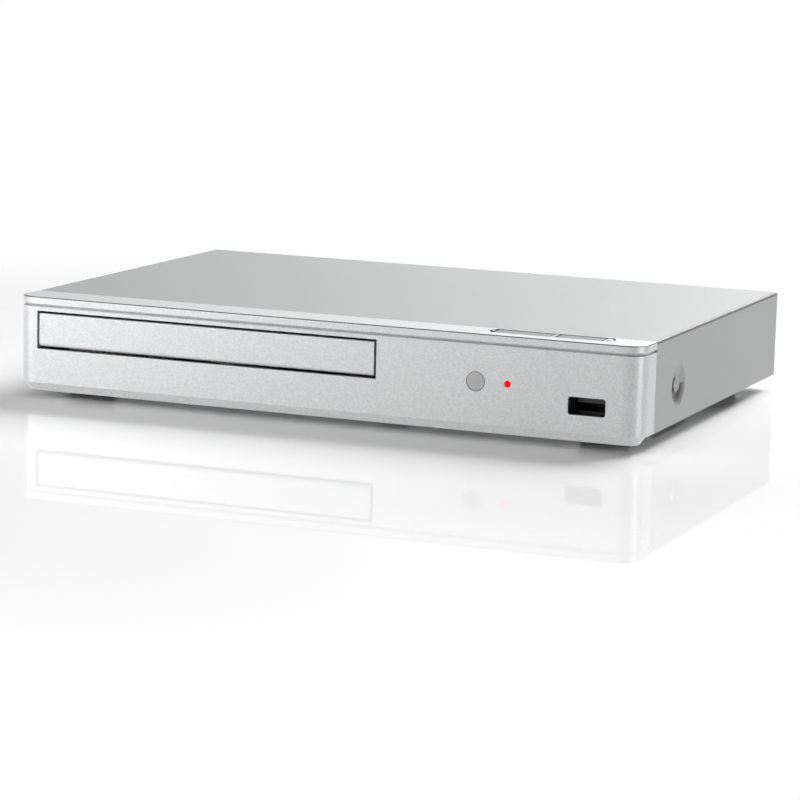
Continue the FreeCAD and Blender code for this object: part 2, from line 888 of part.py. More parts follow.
def circle(x, y, radius):
    def draw(made):
        item = made.addGeometry(Part.Circle(spot_of((x, y)), Vector(0, 0, 1), value(radius)), False)
        pin_point(made, item, 3, x, y)
        fix_radius(made, item, radius)

    return draw


def stadium(first, last, radius):
    """A long hole with round ends about two centres."""

    def draw(made):
        start = spot_of(first)
        end = spot_of(last)
        along = (end - start).normalize()
        side = Vector(-along.y, along.x, 0) * value(radius)
        out = along * value(radius)
        low = made.addGeometry(Part.LineSegment(start - side, end - side), False)
        cap = made.addGeometry(Part.Arc(end - side, end + out, end + side), False)
        high = made.addGeometry(Part.LineSegment(end + side, start + side), False)
        tail = made.addGeometry(Part.Arc(start + side, start - out, start - side), False)
        for item, centre in ((cap, last), (tail, first)):
            pin_point(made, item, 3, *centre)
            fix_radius(made, item, radius)
        for item, after in ((low, cap), (cap, high), (high, tail), (tail, low)):
            made.addConstraint(Sketcher.Constraint("Tangent", item, 2, after, 1))

    return draw


def mirrored_x(name):
    """The same place on the left and on the right of the loader's middle."""
    return ("door_middle - (%s)" % name, "door_middle + (%s)" % name)


# Front panel: a moulded shell that wraps the top and both sides
def front_outline(inset, rear):
    """The panel's plan: straight sides and two rounded front corners."""
    side = "half_width - (%s)" % inset
    front = "front_y + %s" % inset
    radius = "corner_radius - (%s)" % inset
    return outline(("-(%s)" % side, rear), ("-(%s)" % side, front, radius),
                   (side, front, radius), (side, rear))


def panel_groove(piece):
    """The shadow groove that runs round the panel under its top band."""
    body = piece.body
    path = body.newObject("Sketcher::SketchObject", piece.name("path"))
    origin = [item for item in body.Origin.OriginFeatures if item.Role == "XY_Plane"]
    path.AttachmentSupport = (origin[0], "")
    path.MapMode = "FlatFace"
    bind(path, AttachmentOffset__Base__z="groove_bottom")
    left, right = "-half_width", "half_width"
    legs = ((("-half_width", "seam_y"), ("-half_width", "front_y + corner_radius")),
            (("-half_width + corner_radius", "front_y"), ("half_width - corner_radius", "front_y")),
            (("half_width", "front_y + corner_radius"), ("half_width", "seam_y")))
    lines = []
    for first, last in legs:
        line = path.addGeometry(Part.LineSegment(spot_of(first), spot_of(last)), False)
        pin_point(path, line, 1, *first)
        pin_point(path, line, 2, *last)
        lines.append(line)
    for before, after, side in ((lines[0], lines[1], left), (lines[1], lines[2], right)):
        start = path.Geometry[before].EndPoint
        end = path.Geometry[after].StartPoint
        corner = Vector(value(side), value("front_y"), 0)
        centre = start + end - corner
        middle = centre + (corner - centre).normalize() * value("corner_radius")
        arc, first_end = add_arc(path, start, middle, end)
        path.addConstraint(Sketcher.Constraint("Coincident", arc, first_end, before, 2))
        path.addConstraint(Sketcher.Constraint("Coincident", arc, 3 - first_end, after, 1))
        fix_radius(path, arc, "corner_radius")
    section = piece.sketch("XZ", "seam_y", [outline(
        ("-half_width - touch_gap", "groove_bottom"), ("-half_width + groove_depth", "groove_bottom"),
        ("-half_width + groove_depth", "groove_bottom + touch_gap"),
        ("-half_width - touch_gap", "groove_bottom + groove_height"))])
    doc.recompute([path, section])
    before = body.Tip.Shape.Volume
    made = body.newObject("PartDesign::SubtractivePipe", piece.name("groove"))
    made.Profile = section
    made.Spine = path
    piece.settle(made, before, -1)


def front_panel():
    piece = Piece("front_panel")
    piece.pad("XY", "chin_bottom", "chin_height",
              front_outline("chin_setback", "front_y + corner_radius + chin_return + seam_gap"),
              taper="atan(chin_setback / chin_height)")
    piece.pad("XY", "chin_bottom + chin_height", "case_height - chin_bottom - chin_height",
              front_outline("0", "seam_y"))
    piece.cut("XY", "chin_bottom - past", "chin_height + past",
              box("-half_width", "front_y + corner_radius + chin_return", "half_width", "seam_y"))
    piece.pad("XY", "side_bottom", "chin_bottom + chin_height - side_bottom",
              box("-half_width", "front_y + corner_radius", "half_width", "seam_y"))
    piece.dress("Fillet", lambda edge: edge.BoundBox.ZMin > value("case_height") - NEAR
                and edge.BoundBox.YMin < value("seam_y - past"), Radius="ledge_round")
    piece.cut("XY", "panel_floor", "case_height - panel_wall - panel_floor",
              front_outline("panel_wall", "seam_y + past"))
    piece.pad("XZ", "seam_y - panel_wall", "lip_length + panel_wall", outline(
        ("-lip_x", "panel_floor"), ("-lip_x", "lip_z"), ("lip_x", "lip_z"), ("lip_x", "panel_floor"),
        ("lip_x - lip_wall", "panel_floor"), ("lip_x - lip_wall", "lip_z - lip_wall"),
        ("-lip_x + lip_wall", "lip_z - lip_wall"), ("-lip_x + lip_wall", "panel_floor")))
    piece.pad("XZ", "panel_inner_y - touch_gap", "usb_mouth_depth - panel_wall + touch_gap",
              frame_of("usb_x", "usb_mouth_width / 2 + usb_sleeve_wall",
                       "usb_z - usb_mouth_height / 2 - usb_sleeve_wall",
                       "usb_z + usb_mouth_height / 2 + usb_sleeve_wall",
                       "usb_mouth_round + usb_sleeve_wall"))
    piece.cut("XZ", "front_y - past", "panel_wall + 2 * past",
              box("door_left - door_gap", "door_bottom - door_gap",
                  "door_right + door_gap", "door_top + door_gap"),
              circle("window_x", "window_z", "window_radius + window_gap"),
              circle("lamp_x", "window_z", "lamp_radius + window_gap"))
    piece.cut("XZ", "front_y - past", "usb_mouth_depth + 2 * past",
              frame_of("usb_x", "usb_mouth_width / 2", "usb_z - usb_mouth_height / 2",
                       "usb_z + usb_mouth_height / 2", "usb_mouth_round"))
    piece.cut("XY", "case_height - panel_wall - past", "panel_wall + 2 * past", slot_outline("0"))
    panel_groove(piece)
    return piece.done()


# Top buttons: two caps in a pointed slot, carried by a frame under the ledge
def slot_outline(inset):
    """The pointed slot in the ledge, drawn in by an inset."""
    left, right = "slot_left + " + inset, "slot_right - " + inset
    front, rear = "slot_front_y + " + inset, "slot_rear_y - " + inset
    return outline((left, "slot_middle_y"), (left + " + slot_tip", front), (right + " - slot_tip", front),
                   (right, "slot_middle_y"), (right + " - slot_tip", rear), (left + " + slot_tip", rear))


BUTTONS = (("power_button", "power_left", "power_right", "power_stem_x"),
           ("open_close_button", "eject_left", "eject_right", "eject_stem_x"))


def button_frame():
    piece = Piece("button_frame")
    piece.pad("XY", "frame_plate_bottom", "button_top - frame_plate_bottom", slot_outline("slot_bit_gap"))
    piece.pad("XY", "frame_plate_bottom", "case_height - panel_wall - frame_plate_bottom",
              box("slot_left - frame_flange", "slot_front_y - frame_flange",
                  "slot_right + frame_flange", "slot_rear_y + frame_flange", "frame_flange"))
    for name, left, right, stem in BUTTONS:
        piece.cut("XY", "button_floor", "button_top",
                  box(left + " - button_side_gap", "slot_front_y",
                      right + " + button_side_gap", "slot_rear_y"))
        piece.cut("XY", "frame_plate_bottom - past", "frame_plate + 2 * past",
                  circle(stem, "stem_y", "stem_radius + 2 * shaft_gap"))
    return piece.done()


def push_button(name, left, right, stem):
    piece = Piece(name)
    piece.pad("XY", "cap_bottom", "button_cap",
              box(left, "slot_front_y + button_front_gap", right, "slot_rear_y - button_front_gap",
                  "button_round"))
    piece.dress("Fillet", lambda edge: edge.BoundBox.ZMin > value("cap_bottom + button_cap") - NEAR,
                Radius="button_round / 2")
    piece.pad("XY", "stem_bottom", "cap_bottom - stem_bottom", circle(stem, "stem_y", "stem_radius"))
    piece.pad("XY", "frame_plate_bottom - collar_height - runner_gap", "collar_height",
              circle(stem, "stem_y", "stem_radius + collar_height"))
    return piece.done()


REAR_SCREWS = ("-rear_screw_x", "0", "rear_screw_x")


# Cover: one folded sheet with a dish for the screw on each side
def sheet_channel(half, low, top, thickness, bend):
    """A folded sheet seen from the front, open below, with its outer bend radius."""
    inner, under = "%s - %s" % (half, thickness), "%s - %s" % (top, thickness)
    small = "%s - %s" % (bend, thickness)
    return outline(("-(%s)" % half, low), ("-(%s)" % half, top, bend), (half, top, bend), (half, low),
                   (inner, low), (inner, under, small), ("-(%s)" % inner, under, small),
                   ("-(%s)" % inner, low))


def top_cover():
    piece = Piece("top_cover")
    piece.pad("XZ", "seam_y + seam_gap", "rear_y - seam_y - seam_gap",
              sheet_channel("half_width", "side_bottom", "case_height", "sheet", "cover_bend"))
    piece.pad("XZ", "rear_y - sheet", "sheet",
              box("-half_width + cover_bend", "case_height - rear_fold",
                  "half_width - cover_bend", "case_height - touch_gap"))
    for side in ("", "-"):
        left = "-half_width - past" if side else "cover_inner_x - past"
        piece.cut("YZ", left, "sheet + 2 * past",
                  circle("dimple_y", "dimple_height", "dimple_radius - touch_gap"))
    for side in ("", "-"):
        def at(x):
            return "%s(%s)" % (side, x)
        piece.turn(outline((at("half_width"), "dimple_radius"),
                           (at("half_width - dimple_depth"), "dimple_floor_radius"),
                           (at("half_width - dimple_depth"), "clear_radius"),
                           (at("half_width - dimple_depth - sheet"), "clear_radius"),
                           (at("half_width - dimple_depth - sheet"), "dimple_floor_radius"),
                           (at("half_width - sheet"), "dimple_radius")),
                   plane="XY", axis="H_Axis", at="dimple_height", up="dimple_y")
    for x in REAR_SCREWS:
        piece.cut("XZ", "rear_y - sheet - past", "sheet + 2 * past",
                  circle(x, "rear_screw_z", "clear_radius"))
    return piece.done()


FEET = tuple((x, y) for x in ("-foot_x", "foot_x") for y in ("foot_front_y", "foot_rear_y"))
SEATS = tuple((x, y) for x in mirrored_x("loader_screw_x") for y in ("loader_front_y", "loader_rear_y"))
MAIN_POSTS = tuple((x, y) for x in ("main_board_left + post_inset", "main_board_right - post_inset")
                   for y in ("main_post_front_y", "main_post_rear_y"))
POWER_POSTS = tuple((x, y) for x in ("power_board_left + post_inset", "power_board_right - post_inset")
                    for y in ("power_post_front_y", "power_post_rear_y"))
FRONT_POSTS = tuple((x, "front_post_y") for x in ("front_board_left + post_inset",
                                                  "front_board_right - post_inset"))


# Chassis: a folded tray of zinc-plated steel with raised seats, ribs and vents
def bottom_chassis():
    piece = Piece("bottom_chassis")
    piece.pad("XY", "chassis_bottom", "sheet",
              box("-chassis_x + cover_bend", "chassis_front", "chassis_x - cover_bend", "rear_inner_y"))
    half, inner = "chassis_x", "chassis_x - sheet"
    piece.pad("XZ", "chassis_flange_y", "rear_inner_y - chassis_flange_y", outline(
        ("-" + half, "chassis_flange_top"), ("-" + half, "chassis_bottom", "cover_bend"),
        (half, "chassis_bottom", "cover_bend"), (half, "chassis_flange_top"),
        (inner, "chassis_flange_top"), (inner, "side_bottom", "cover_bend - sheet"),
        ("-(%s)" % inner, "side_bottom", "cover_bend - sheet"), ("-(%s)" % inner, "chassis_flange_top")))
    piece.pad("XZ", "rear_inner_y - sheet", "sheet",
              box("-rear_tab_x", "chassis_bottom", "rear_tab_x", "rear_tab_top"))
    for seat in SEATS:
        piece.pad("XY", "side_bottom", "frame_base - side_bottom", circle(*seat, "seat_radius"))
    for post in MAIN_POSTS + POWER_POSTS:
        piece.pad("XY", "side_bottom", "board_level - side_bottom", circle(*post, "standoff_radius"))
    for post in FRONT_POSTS:
        piece.pad("XY", "side_bottom", "front_board_level - side_bottom", circle(*post, "standoff_radius"))
    for x in ("door_middle - emboss_x", "door_middle", "door_middle + emboss_x"):
        piece.pad("XY", "side_bottom", "emboss_height",
                  stadium((x, "emboss_front_y"), (x, "emboss_rear_y"), "emboss_radius"))
        piece.cut("XY", "chassis_bottom - past", "past + emboss_height",
                  stadium((x, "emboss_front_y"), (x, "emboss_rear_y"), "emboss_radius - sheet"))
    for seat in SEATS:
        piece.cut("XY", "chassis_bottom - past", "frame_base - side_bottom + past",
                  circle(*seat, "seat_radius - sheet"))
        piece.cut("XY", "chassis_bottom - past", "frame_base - chassis_bottom + 2 * past",
                  circle(*seat, "pilot_radius"))
    for post in MAIN_POSTS + POWER_POSTS + FRONT_POSTS:
        piece.cut("XY", "chassis_bottom - past", "front_board_level - chassis_bottom + 2 * past",
                  circle(*post, "pilot_radius"))
    for foot in FEET:
        piece.cut("XY", "chassis_bottom - past", "sheet + 2 * past",
                  circle(*foot, "foot_peg_radius + touch_gap"))
    for side in ("", "-"):
        left = "-chassis_x - past" if side else "chassis_x - sheet - past"
        piece.cut("YZ", left, "sheet + 2 * past", circle("dimple_y", "dimple_height", "clear_radius"))
    for x in REAR_SCREWS:
        piece.cut("XZ", "rear_inner_y - sheet - past", "sheet + 2 * past",
                  circle(x, "tab_screw_z", "clear_radius"))
    piece.cut("XY", "chassis_bottom - past", "sheet + 2 * past",
              stadium(("floor_vent_left", "floor_vent_front"), ("floor_vent_left", "floor_vent_rear"),
                      "vent_radius"))
    piece.repeat("X", "floor_vent_span", "floor_vent_count")
    return piece.done()


def rear_panel():
    piece = Piece("rear_panel")
    piece.pad("XZ", "rear_inner_y", "sheet",
              box("-rear_panel_x", "chassis_bottom", "rear_panel_x", "cover_inner_z - touch_gap"))
    reach = ("rear_inner_y - past", "sheet + 2 * past")
    piece.cut("XZ", *reach,
              frame_of("hdmi_x", "hdmi_width / 2 + touch_gap", "board_top", "hdmi_top + touch_gap"),
              frame_of("lan_x", "lan_width / 2 + touch_gap", "board_top", "lan_top + touch_gap"),
              circle("coax_x", "coax_z", "coax_radius + touch_gap"),
              frame_of("inlet_x", "inlet_width / 2 + touch_gap",
                       "inlet_level - inlet_height / 2 - touch_gap",
                       "inlet_level + inlet_height / 2 + touch_gap"))
    for x in REAR_SCREWS:
        piece.cut("XZ", *reach, circle(x, "rear_screw_z", "pilot_radius"),
                  circle(x, "tab_screw_z", "clear_radius"))
    piece.cut("XZ", *reach, stadium(("rear_vent_left", "rear_vent_low"),
                                    ("rear_vent_left", "rear_vent_high"),
                                    "vent_radius"))
    piece.repeat("X", "rear_vent_span", "rear_vent_count")
    return piece.done()


BRIDGE_SCREW_Y = ("disc_y - bridge_screw_y", "disc_y + bridge_screw_y")


# Feet and screws
def group(label, prototype, places, turn=None):
    """One node that holds a separate solid at each place."""
    items = []
    for number, (x, y, z) in enumerate(places, start=1):
        item = prototype("%s_%d" % (label, number))
        if turn is not None:
            item.body.Placement = Placement(Vector(), turn)
        place(item.body, x, y, z)
        items.append(item.body)
    made = doc.addObject("Part::Compound", label)
    made.Links = items
    return node(made, label)


def rubber_foot(name):
    piece = Piece(name)
    piece.turn(outline(("0", "0"), ("foot_radius", "0"), ("foot_top_radius", "chassis_bottom"),
                       ("foot_peg_radius", "chassis_bottom"), ("foot_peg_radius", "side_bottom"),
                       ("foot_peg_radius + foot_catch", "side_bottom + touch_gap"),
                       ("foot_peg_radius - foot_catch", "side_bottom + foot_peg"),
                       ("0", "side_bottom + foot_peg")))
    piece.dress("Fillet", lambda edge: edge.BoundBox.ZMax < NEAR and edge.BoundBox.XLength > NEAR,
                Radius="foot_round")
    return piece


def screw(length):
    """A pan-head screw that points down from the underside of its head."""
    def made(name):
        piece = Piece(name)
        piece.turn(outline(("0", "-(%s)" % length), ("shank_radius", "-(%s)" % length),
                           ("shank_radius", "0"),
                           ("screw_head_radius", "0"), ("screw_head_radius", "screw_head / 2"),
                           ("screw_head_radius * screw_dome", "screw_head"), ("0", "screw_head")))
        return piece
    return made


def feet_and_screws():
    group("feet", rubber_foot, [(x, y, "0") for x, y in FEET])
    out_right = Rotation(Vector(0, 1, 0), 90)
    out_left = Rotation(Vector(0, 1, 0), -90)
    items = []
    for number, (turn, x) in enumerate(((out_right, "half_width - dimple_depth"),
                                        (out_left, "-half_width + dimple_depth"))):
        item = screw("screw_length")("side_screw_%d" % number)
        item.body.Placement = Placement(Vector(), turn)
        place(item.body, x, "dimple_y", "dimple_height")
        items.append(item.body)
    made = doc.addObject("Part::Compound", "side_screws")
    made.Links = items
    node(made, "side_screws")
    out_back = Rotation(Vector(1, 0, 0), -90)
    spots = [(x, "rear_y", "rear_screw_z") for x in REAR_SCREWS]
    spots += [(x, "rear_wall_y", "tab_screw_z") for x in REAR_SCREWS]
    group("rear_screws", screw("screw_length"), spots, out_back)
    posts = [post + ("board_top",) for post in MAIN_POSTS + POWER_POSTS]
    posts += [post + ("front_board_top",) for post in FRONT_POSTS]
    group("board_screws", screw("screw_length"), posts)
    group("loader_screws", screw("frame_floor + screw_bite"),
          [seat + ("frame_floor_top",) for seat in SEATS])
    group("bridge_screws", screw("screw_length"),
          [(x, y, "bridge_top") for x in mirrored_x("bridge_screw_x") for y in BRIDGE_SCREW_Y])


# Loader frame: a moulded tray that carries the whole mechanism
def loader_x(text):
    """A place that is measured from the middle of the loader."""
    return "door_middle + (%s)" % text


def loader_frame():
    piece = Piece("loader_frame")
    piece.pad("XY", "frame_base", "frame_floor",
              frame_of("door_middle", "frame_half", "frame_front", "frame_rear"))
    for side in (1, -1):
        def at(text, side=side):
            return loader_x("%d * (%s)" % (side, text))
        piece.pad("XZ", "frame_front", "frame_length", outline(
            (at("frame_half"), "frame_base"), (at("frame_half"), "frame_top"), (at("wall_x"), "frame_top"),
            (at("wall_x"), "ledge_top"), (at("wall_x - ledge_width"), "ledge_top"),
            (at("wall_x - ledge_width"), "ledge_top - frame_floor"),
            (at("wall_x"), "ledge_top - frame_floor"), (at("wall_x"), "frame_base")))
    piece.pad("XZ", "frame_rear - frame_wall", "frame_wall",
              frame_of("door_middle", "frame_half - touch_gap", "frame_base + touch_gap", "ledge_top"))
    piece.pad("XZ", "frame_front", "frame_wall",
              frame_of("door_middle", "frame_half - touch_gap", "frame_base + touch_gap", "frame_beam_top"))
    for side in (1, -1):
        def at(text, side=side):
            return loader_x("%d * (%s)" % (side, text))
        for y in ("frame_front + tab_from_front", "disc_y + tab_behind_disc", "frame_rear - tab_from_rear"):
            piece.pad("XY", "skirt_bottom + runner_height + runner_gap", "tab_sheet", outline(
                (at("wall_x + touch_gap"), y), (at("wall_x + touch_gap"), y + " + tab_width"),
                (at("wall_x - tab_reach"), y + " + tab_width"), (at("wall_x - tab_reach"), y)))
        for y in ("disc_y - bridge_screw_y", "disc_y + bridge_screw_y"):
            low, high = y + " - bridge_post / 2", y + " + bridge_post / 2"
            piece.pad("XY", "frame_base", "bridge_bottom - frame_base", outline(
                (at("wall_x"), low), (at("wall_x"), high), (at("wall_x + bridge_post_width"), high),
                (at("wall_x + bridge_post_width"), low)))
            piece.cut("XY", "bridge_bottom - screw_length - past", "screw_length + 2 * past",
                      circle(loader_x("%d * (wall_x + bridge_post_width / 2)" % side), y, "pilot_radius"))
        low, high = "pivot_y - block_depth / 2", "pivot_y + block_depth / 2"
        piece.pad("XY", "frame_floor_top - touch_gap", "pivot_level + block_rise - frame_floor_top", outline(
            (at("ring_half_width + block_gap"), low), (at("ring_half_width + block_gap"), high),
            (at("ring_half_width + block_outer"), high), (at("ring_half_width + block_outer"), low)))
    piece.cut("YZ", loader_x("-ring_half_width - block_outer - past"),
              "2 * (ring_half_width + block_outer + past)",
              circle("pivot_y", "pivot_level", "pivot_radius + 2 * shaft_gap"))
    piece.pad("XY", "frame_floor_top - touch_gap", "cam_wall_top - frame_floor_top",
              box(loader_x("-cam_half_width"), "cam_y - cam_clearance - cam_wall",
                  loader_x("-hook_left + hook_half"), "cam_y - cam_clearance"),
              box(loader_x("hook_right - hook_half - cam_wall_past"), "cam_y - cam_clearance - cam_wall",
                  loader_x("cam_half_width + cam_wall_past"), "cam_y - cam_clearance"))
    for x in ("-hook_left", "hook_right"):
        piece.pad("YZ", loader_x(x + " - hook_half"), "2 * hook_half", outline(
            ("cam_y - cam_clearance - cam_wall", "frame_floor_top"),
            ("cam_y - cam_clearance - cam_wall", "hook_top"),
            ("cam_y + hook_reach", "hook_top"), ("cam_y + hook_reach", "hook_top - hook_sheet"),
            ("cam_y - cam_clearance", "hook_top - hook_sheet"),
            ("cam_y - cam_clearance", "frame_floor_top")))
    piece.cut("XY", "frame_base - past", "frame_floor + 2 * past",
              frame_of("door_middle", "ring_half_width + well_gap", "ring_y - cam_clearance",
                       "pivot_y + well_rear"))
    piece.pad("XY", "frame_floor_top - touch_gap",
              "pulley_gear_bottom - runner_gap - frame_floor_top + touch_gap",
              circle("gear_x", "gear_y", "collar_radius"),
              circle("pulley_gear_x", "gear_y", "collar_radius"))
    piece.pad("XY", "frame_floor_top", "belt_level + pulley_height / 2 - frame_floor_top",
              circle("gear_x", "gear_y", "post_radius"), circle("pulley_gear_x", "gear_y", "post_radius"))
    piece.pad("XY", "motor_top", "deck_sheet", frame_of("motor_x", "deck_half", "deck_front", "deck_rear"))
    for x in ("motor_x - deck_half", "motor_x + deck_half - deck_leg"):
        for y in ("deck_front", "deck_rear - deck_leg"):
            piece.pad("XY", "frame_floor_top - touch_gap", "motor_top - frame_floor_top + 2 * touch_gap",
                      box(x, y, x + " + deck_leg", y + " + deck_leg"))
    piece.cut("XY", "motor_top - past", "deck_sheet + 2 * past",
              circle("motor_x", "motor_y", "motor_pulley_radius + deck_hole_gap"))
    piece.cut("XY", "frame_base - past", "frame_floor + 2 * past",
              circle("motor_x", "motor_y", "motor_radius + motor_gap"))
    for seat in SEATS:
        piece.cut("XY", "frame_base - past", "frame_floor + 2 * past", circle(*seat, "clear_radius"))
    return piece.done()


# Tray: a plate with two recesses, side runners and a rack under its left edge
def disc_tray():
    piece = Piece("disc_tray")
    piece.pad("XY", "tray_top - tray_rim", "tray_rim",
              frame_of("door_middle", "tray_width / 2", "tray_front", "tray_rear"))
    piece.pad("XY", "disc_floor - tray_plate", "tray_top - disc_floor + tray_plate",
              circle("door_middle", "disc_y", "disc_radius + disc_clearance + recess_wall"))
    piece.pad("XY", "tray_under", "disc_floor - tray_under",
              circle("door_middle", "disc_y", "small_disc_radius + disc_clearance + small_recess_wall"))
    for side in (1, -1):
        def at(text, side=side):
            return loader_x("%d * (%s)" % (side, text))
        outer, inner = "tray_width / 2", "tray_width / 2 - tray_skirt"
        piece.pad("XZ", "tray_front", "tray_length", outline(
            (at(inner), "tray_top - touch_gap"), (at(outer), "tray_top - touch_gap"),
            (at(outer), "skirt_bottom + runner_height"), (at("runner_x"), "skirt_bottom + runner_height"),
            (at("runner_x"), "skirt_bottom"), (at(inner), "skirt_bottom")))
    piece.pad("XZ", "tray_front", "tray_skirt",
              frame_of("door_middle", "tray_width / 2 - touch_gap", "skirt_bottom", "tray_top - touch_gap"))
    piece.pad("XY", "rack_bottom", "tray_top - tray_rim / 2 - rack_bottom",
              box("rack_x - gear_module - rack_back", "tray_front + tray_skirt / 2",
                  "rack_x + addendum * gear_module", "tray_rear"))
    piece.cut("XY", "disc_floor", "disc_recess + past",
              circle("door_middle", "disc_y", "disc_radius + disc_clearance"))
    piece.cut("XY", "small_floor", "small_recess + past",
              circle("door_middle", "disc_y", "small_disc_radius + disc_clearance"))
    piece.cut("XY", "tray_under - past", "tray_top - tray_under + 2 * past", outline(
        (loader_x("-tray_slot_radius"), "disc_y - tray_slot_radius", "tray_slot_radius - fit_gap"),
        (loader_x("tray_slot_radius"), "disc_y - tray_slot_radius", "tray_slot_radius - fit_gap"),
        (loader_x("tray_slot_radius"), "tray_rear + past"),
        (loader_x("-tray_slot_radius"), "tray_rear + past")))
    tip, root = "rack_x + addendum * gear_module + tooth_past", "rack_x - dedendum * gear_module"
    first = "gear_y - rack_gaps_ahead * tooth_pitch"
    half = "tooth_pitch / 4 + tooth_backlash / 4"
    narrow = "(%s - dedendum * gear_module * tan(pressure_angle))" % half
    wide = "(%s + (addendum * gear_module + tooth_past) * tan(pressure_angle))" % half
    piece.cut("XY", "rack_bottom - past", "pinion_top + rack_gap_rise - rack_bottom + past", outline(
        (root, first + " - " + narrow), (tip, first + " - " + wide),
        (tip, first + " + " + wide), (root, first + " + " + narrow)))
    piece.repeat("Y", "(rack_gaps - 1) * tooth_pitch", "rack_gaps")
    return piece.done()


def tray_door():
    piece = Piece("tray_door")
    piece.pad("XZ", "front_y", "door_thickness", box("door_left", "door_bottom", "door_right", "door_top"))
    piece.dress("Fillet", lambda edge: edge.BoundBox.ZMax < value("door_bottom") + NEAR
                and edge.BoundBox.YMax < value("front_y") + NEAR, Radius="door_edge_round")
    piece.cut("XZ", "front_y + door_wall", "door_thickness",
              box("door_left + door_wall", "door_bottom + door_wall",
                  "door_right - door_wall", "door_top - door_wall"))
    for x in ("door_middle - tray_width / 4", "door_middle", "door_middle + tray_width / 4"):
        piece.pad("XZ", "front_y + door_wall - touch_gap", "door_thickness - door_wall + touch_gap",
                  frame_of(x, "door_wall / 2", "door_bottom + touch_gap", "door_top - touch_gap"))
    return piece.done()


# Gears with involute teeth
def gap_half(radius, pitch, teeth):
    """Half the angle of a tooth gap at a radius, in degrees."""
    ratio = "(%s) / ((%s) * cos(pressure_angle))" % (radius, pitch)
    rise = "(sqrt(abs((%s)^2 - 1)) * radian - acos(min(1; 1 / (%s))) / 1 deg)" % (ratio, ratio)
    at_pitch = "(tan(pressure_angle) * radian - pressure_angle)"
    return "(90 / %s + tooth_backlash / 4 / (%s) * radian - %s + %s)" % (teeth, pitch, at_pitch, rise)


def tooth_gap(pitch, teeth, low, phase):
    """The gap between two teeth, about an angle seen from the axis."""
    root = "%s - dedendum * gear_module" % pitch
    radii = (root, low, pitch, "%s + cutter_reach * gear_module" % pitch)
    halves = [gap_half(low if radius == root else radius, pitch, teeth) for radius in radii]

    def corner(index, side):
        angle = "(%s + %d * %s)" % (phase, side, halves[index])
        return ("(%s) * cos(%s)" % (radii[index], angle), "(%s) * sin(%s)" % (radii[index], angle))

    return outline(*([corner(index, -1) for index in range(4)]
                     + [corner(index, 1) for index in (3, 2, 1, 0)]))


PINION_LOW = "%s * cos(pressure_angle) + fit_gap"
WHEEL_LOW = "%s - gear_module / 2"


def tray_gear():
    piece = Piece("tray_gear")
    piece.pad("XY", "0", "wheel_height", circle("0", "0", "wheel_tip"))
    piece.cut("XY", "-past", "wheel_height + 2 * past",
              tooth_gap("wheel_pitch", "wheel_teeth", WHEEL_LOW % "wheel_pitch", "180 / wheel_teeth"))
    piece.ring("wheel_teeth")
    piece.cut("XY", "wheel_web", "wheel_height", circle("0", "0", "wheel_root - wheel_rim"))
    piece.pad("XY", "0", "pinion_top - wheel_bottom", circle("0", "0", "pinion_tip"))
    piece.cut("XY", "wheel_height", "pinion_top - wheel_bottom",
              tooth_gap("pinion_pitch", "pinion_teeth", PINION_LOW % "pinion_pitch",
                        "180 + 180 / pinion_teeth"))
    piece.ring("pinion_teeth")
    piece.cut("XY", "-past", "pinion_top - wheel_bottom + 2 * past",
              circle("0", "0", "post_radius + shaft_gap"))
    return piece.done("gear_x", "gear_y", "wheel_bottom")


def pulley_gear():
    piece = Piece("pulley_gear")
    middle = "(belt_level - pulley_gear_bottom)"
    low, high = middle + " - pulley_height / 2", middle + " + pulley_height / 2"
    piece.pad("XY", "0", low, circle("0", "0", "pinion_tip"))
    piece.cut("XY", "-past", "pulley_pinion_height + past",
              tooth_gap("pulley_pinion_pitch", "pulley_pinion_teeth",
                        PINION_LOW % "pulley_pinion_pitch", "180"))
    piece.ring("pulley_pinion_teeth")
    piece.turn(pulley_profile("pulley_radius", low, high))
    piece.cut("XY", "-past", high + " + 2 * past", circle("0", "0", "post_radius + shaft_gap"))
    return piece.done("pulley_gear_x", "gear_y", "pulley_gear_bottom")


def pulley_profile(radius, low, high):
    """Half a grooved pulley."""
    rim = "%s + pulley_rim" % radius
    groove_low = "(%s) + pulley_height / 2 - belt_thickness / 2 - belt_gap" % low
    groove_high = "(%s) + pulley_height / 2 + belt_thickness / 2 + belt_gap" % low
    return outline(("0", low), (rim, low), (rim, groove_low), (radius, groove_low), (radius, groove_high),
                   (rim, groove_high), (rim, high), ("0", high))


def motor_pulley():
    piece = Piece("motor_pulley")
    piece.turn(pulley_profile("motor_pulley_radius", "0", "pulley_height"))
    piece.cut("XY", "-past", "pulley_height + 2 * past", circle("0", "0", "motor_shaft_radius + fit_gap"))
    return piece.done("motor_x", "motor_y", "belt_level - pulley_height / 2")


def motor_shaft():
    piece = Piece("motor_shaft")
    piece.pad("XY", "motor_top - shaft_in_motor",
              "belt_level + pulley_height / 2 + shaft_past_pulley - motor_top + shaft_in_motor",
              circle("motor_x", "motor_y", "motor_shaft_radius"))
    return piece.done()


def loading_motor():
    piece = Piece("loading_motor")
    piece.pad("XY", "motor_bottom", "motor_height", circle("motor_x", "motor_y", "motor_radius"))
    piece.dress("Chamfer", lambda edge: True, Size="motor_chamfer")
    piece.cut("XY", "motor_top - shaft_in_motor - seam_gap", "shaft_in_motor + past",
              circle("motor_x", "motor_y", "motor_shaft_radius + touch_gap"))
    return piece.done()


def drive_belt():
    piece = Piece("drive_belt")
    piece.pad("XY", "belt_level - belt_thickness / 2", "belt_thickness",
              belt_loop("belt_gap + belt_thickness"), belt_loop("belt_gap"))
    return piece.done()


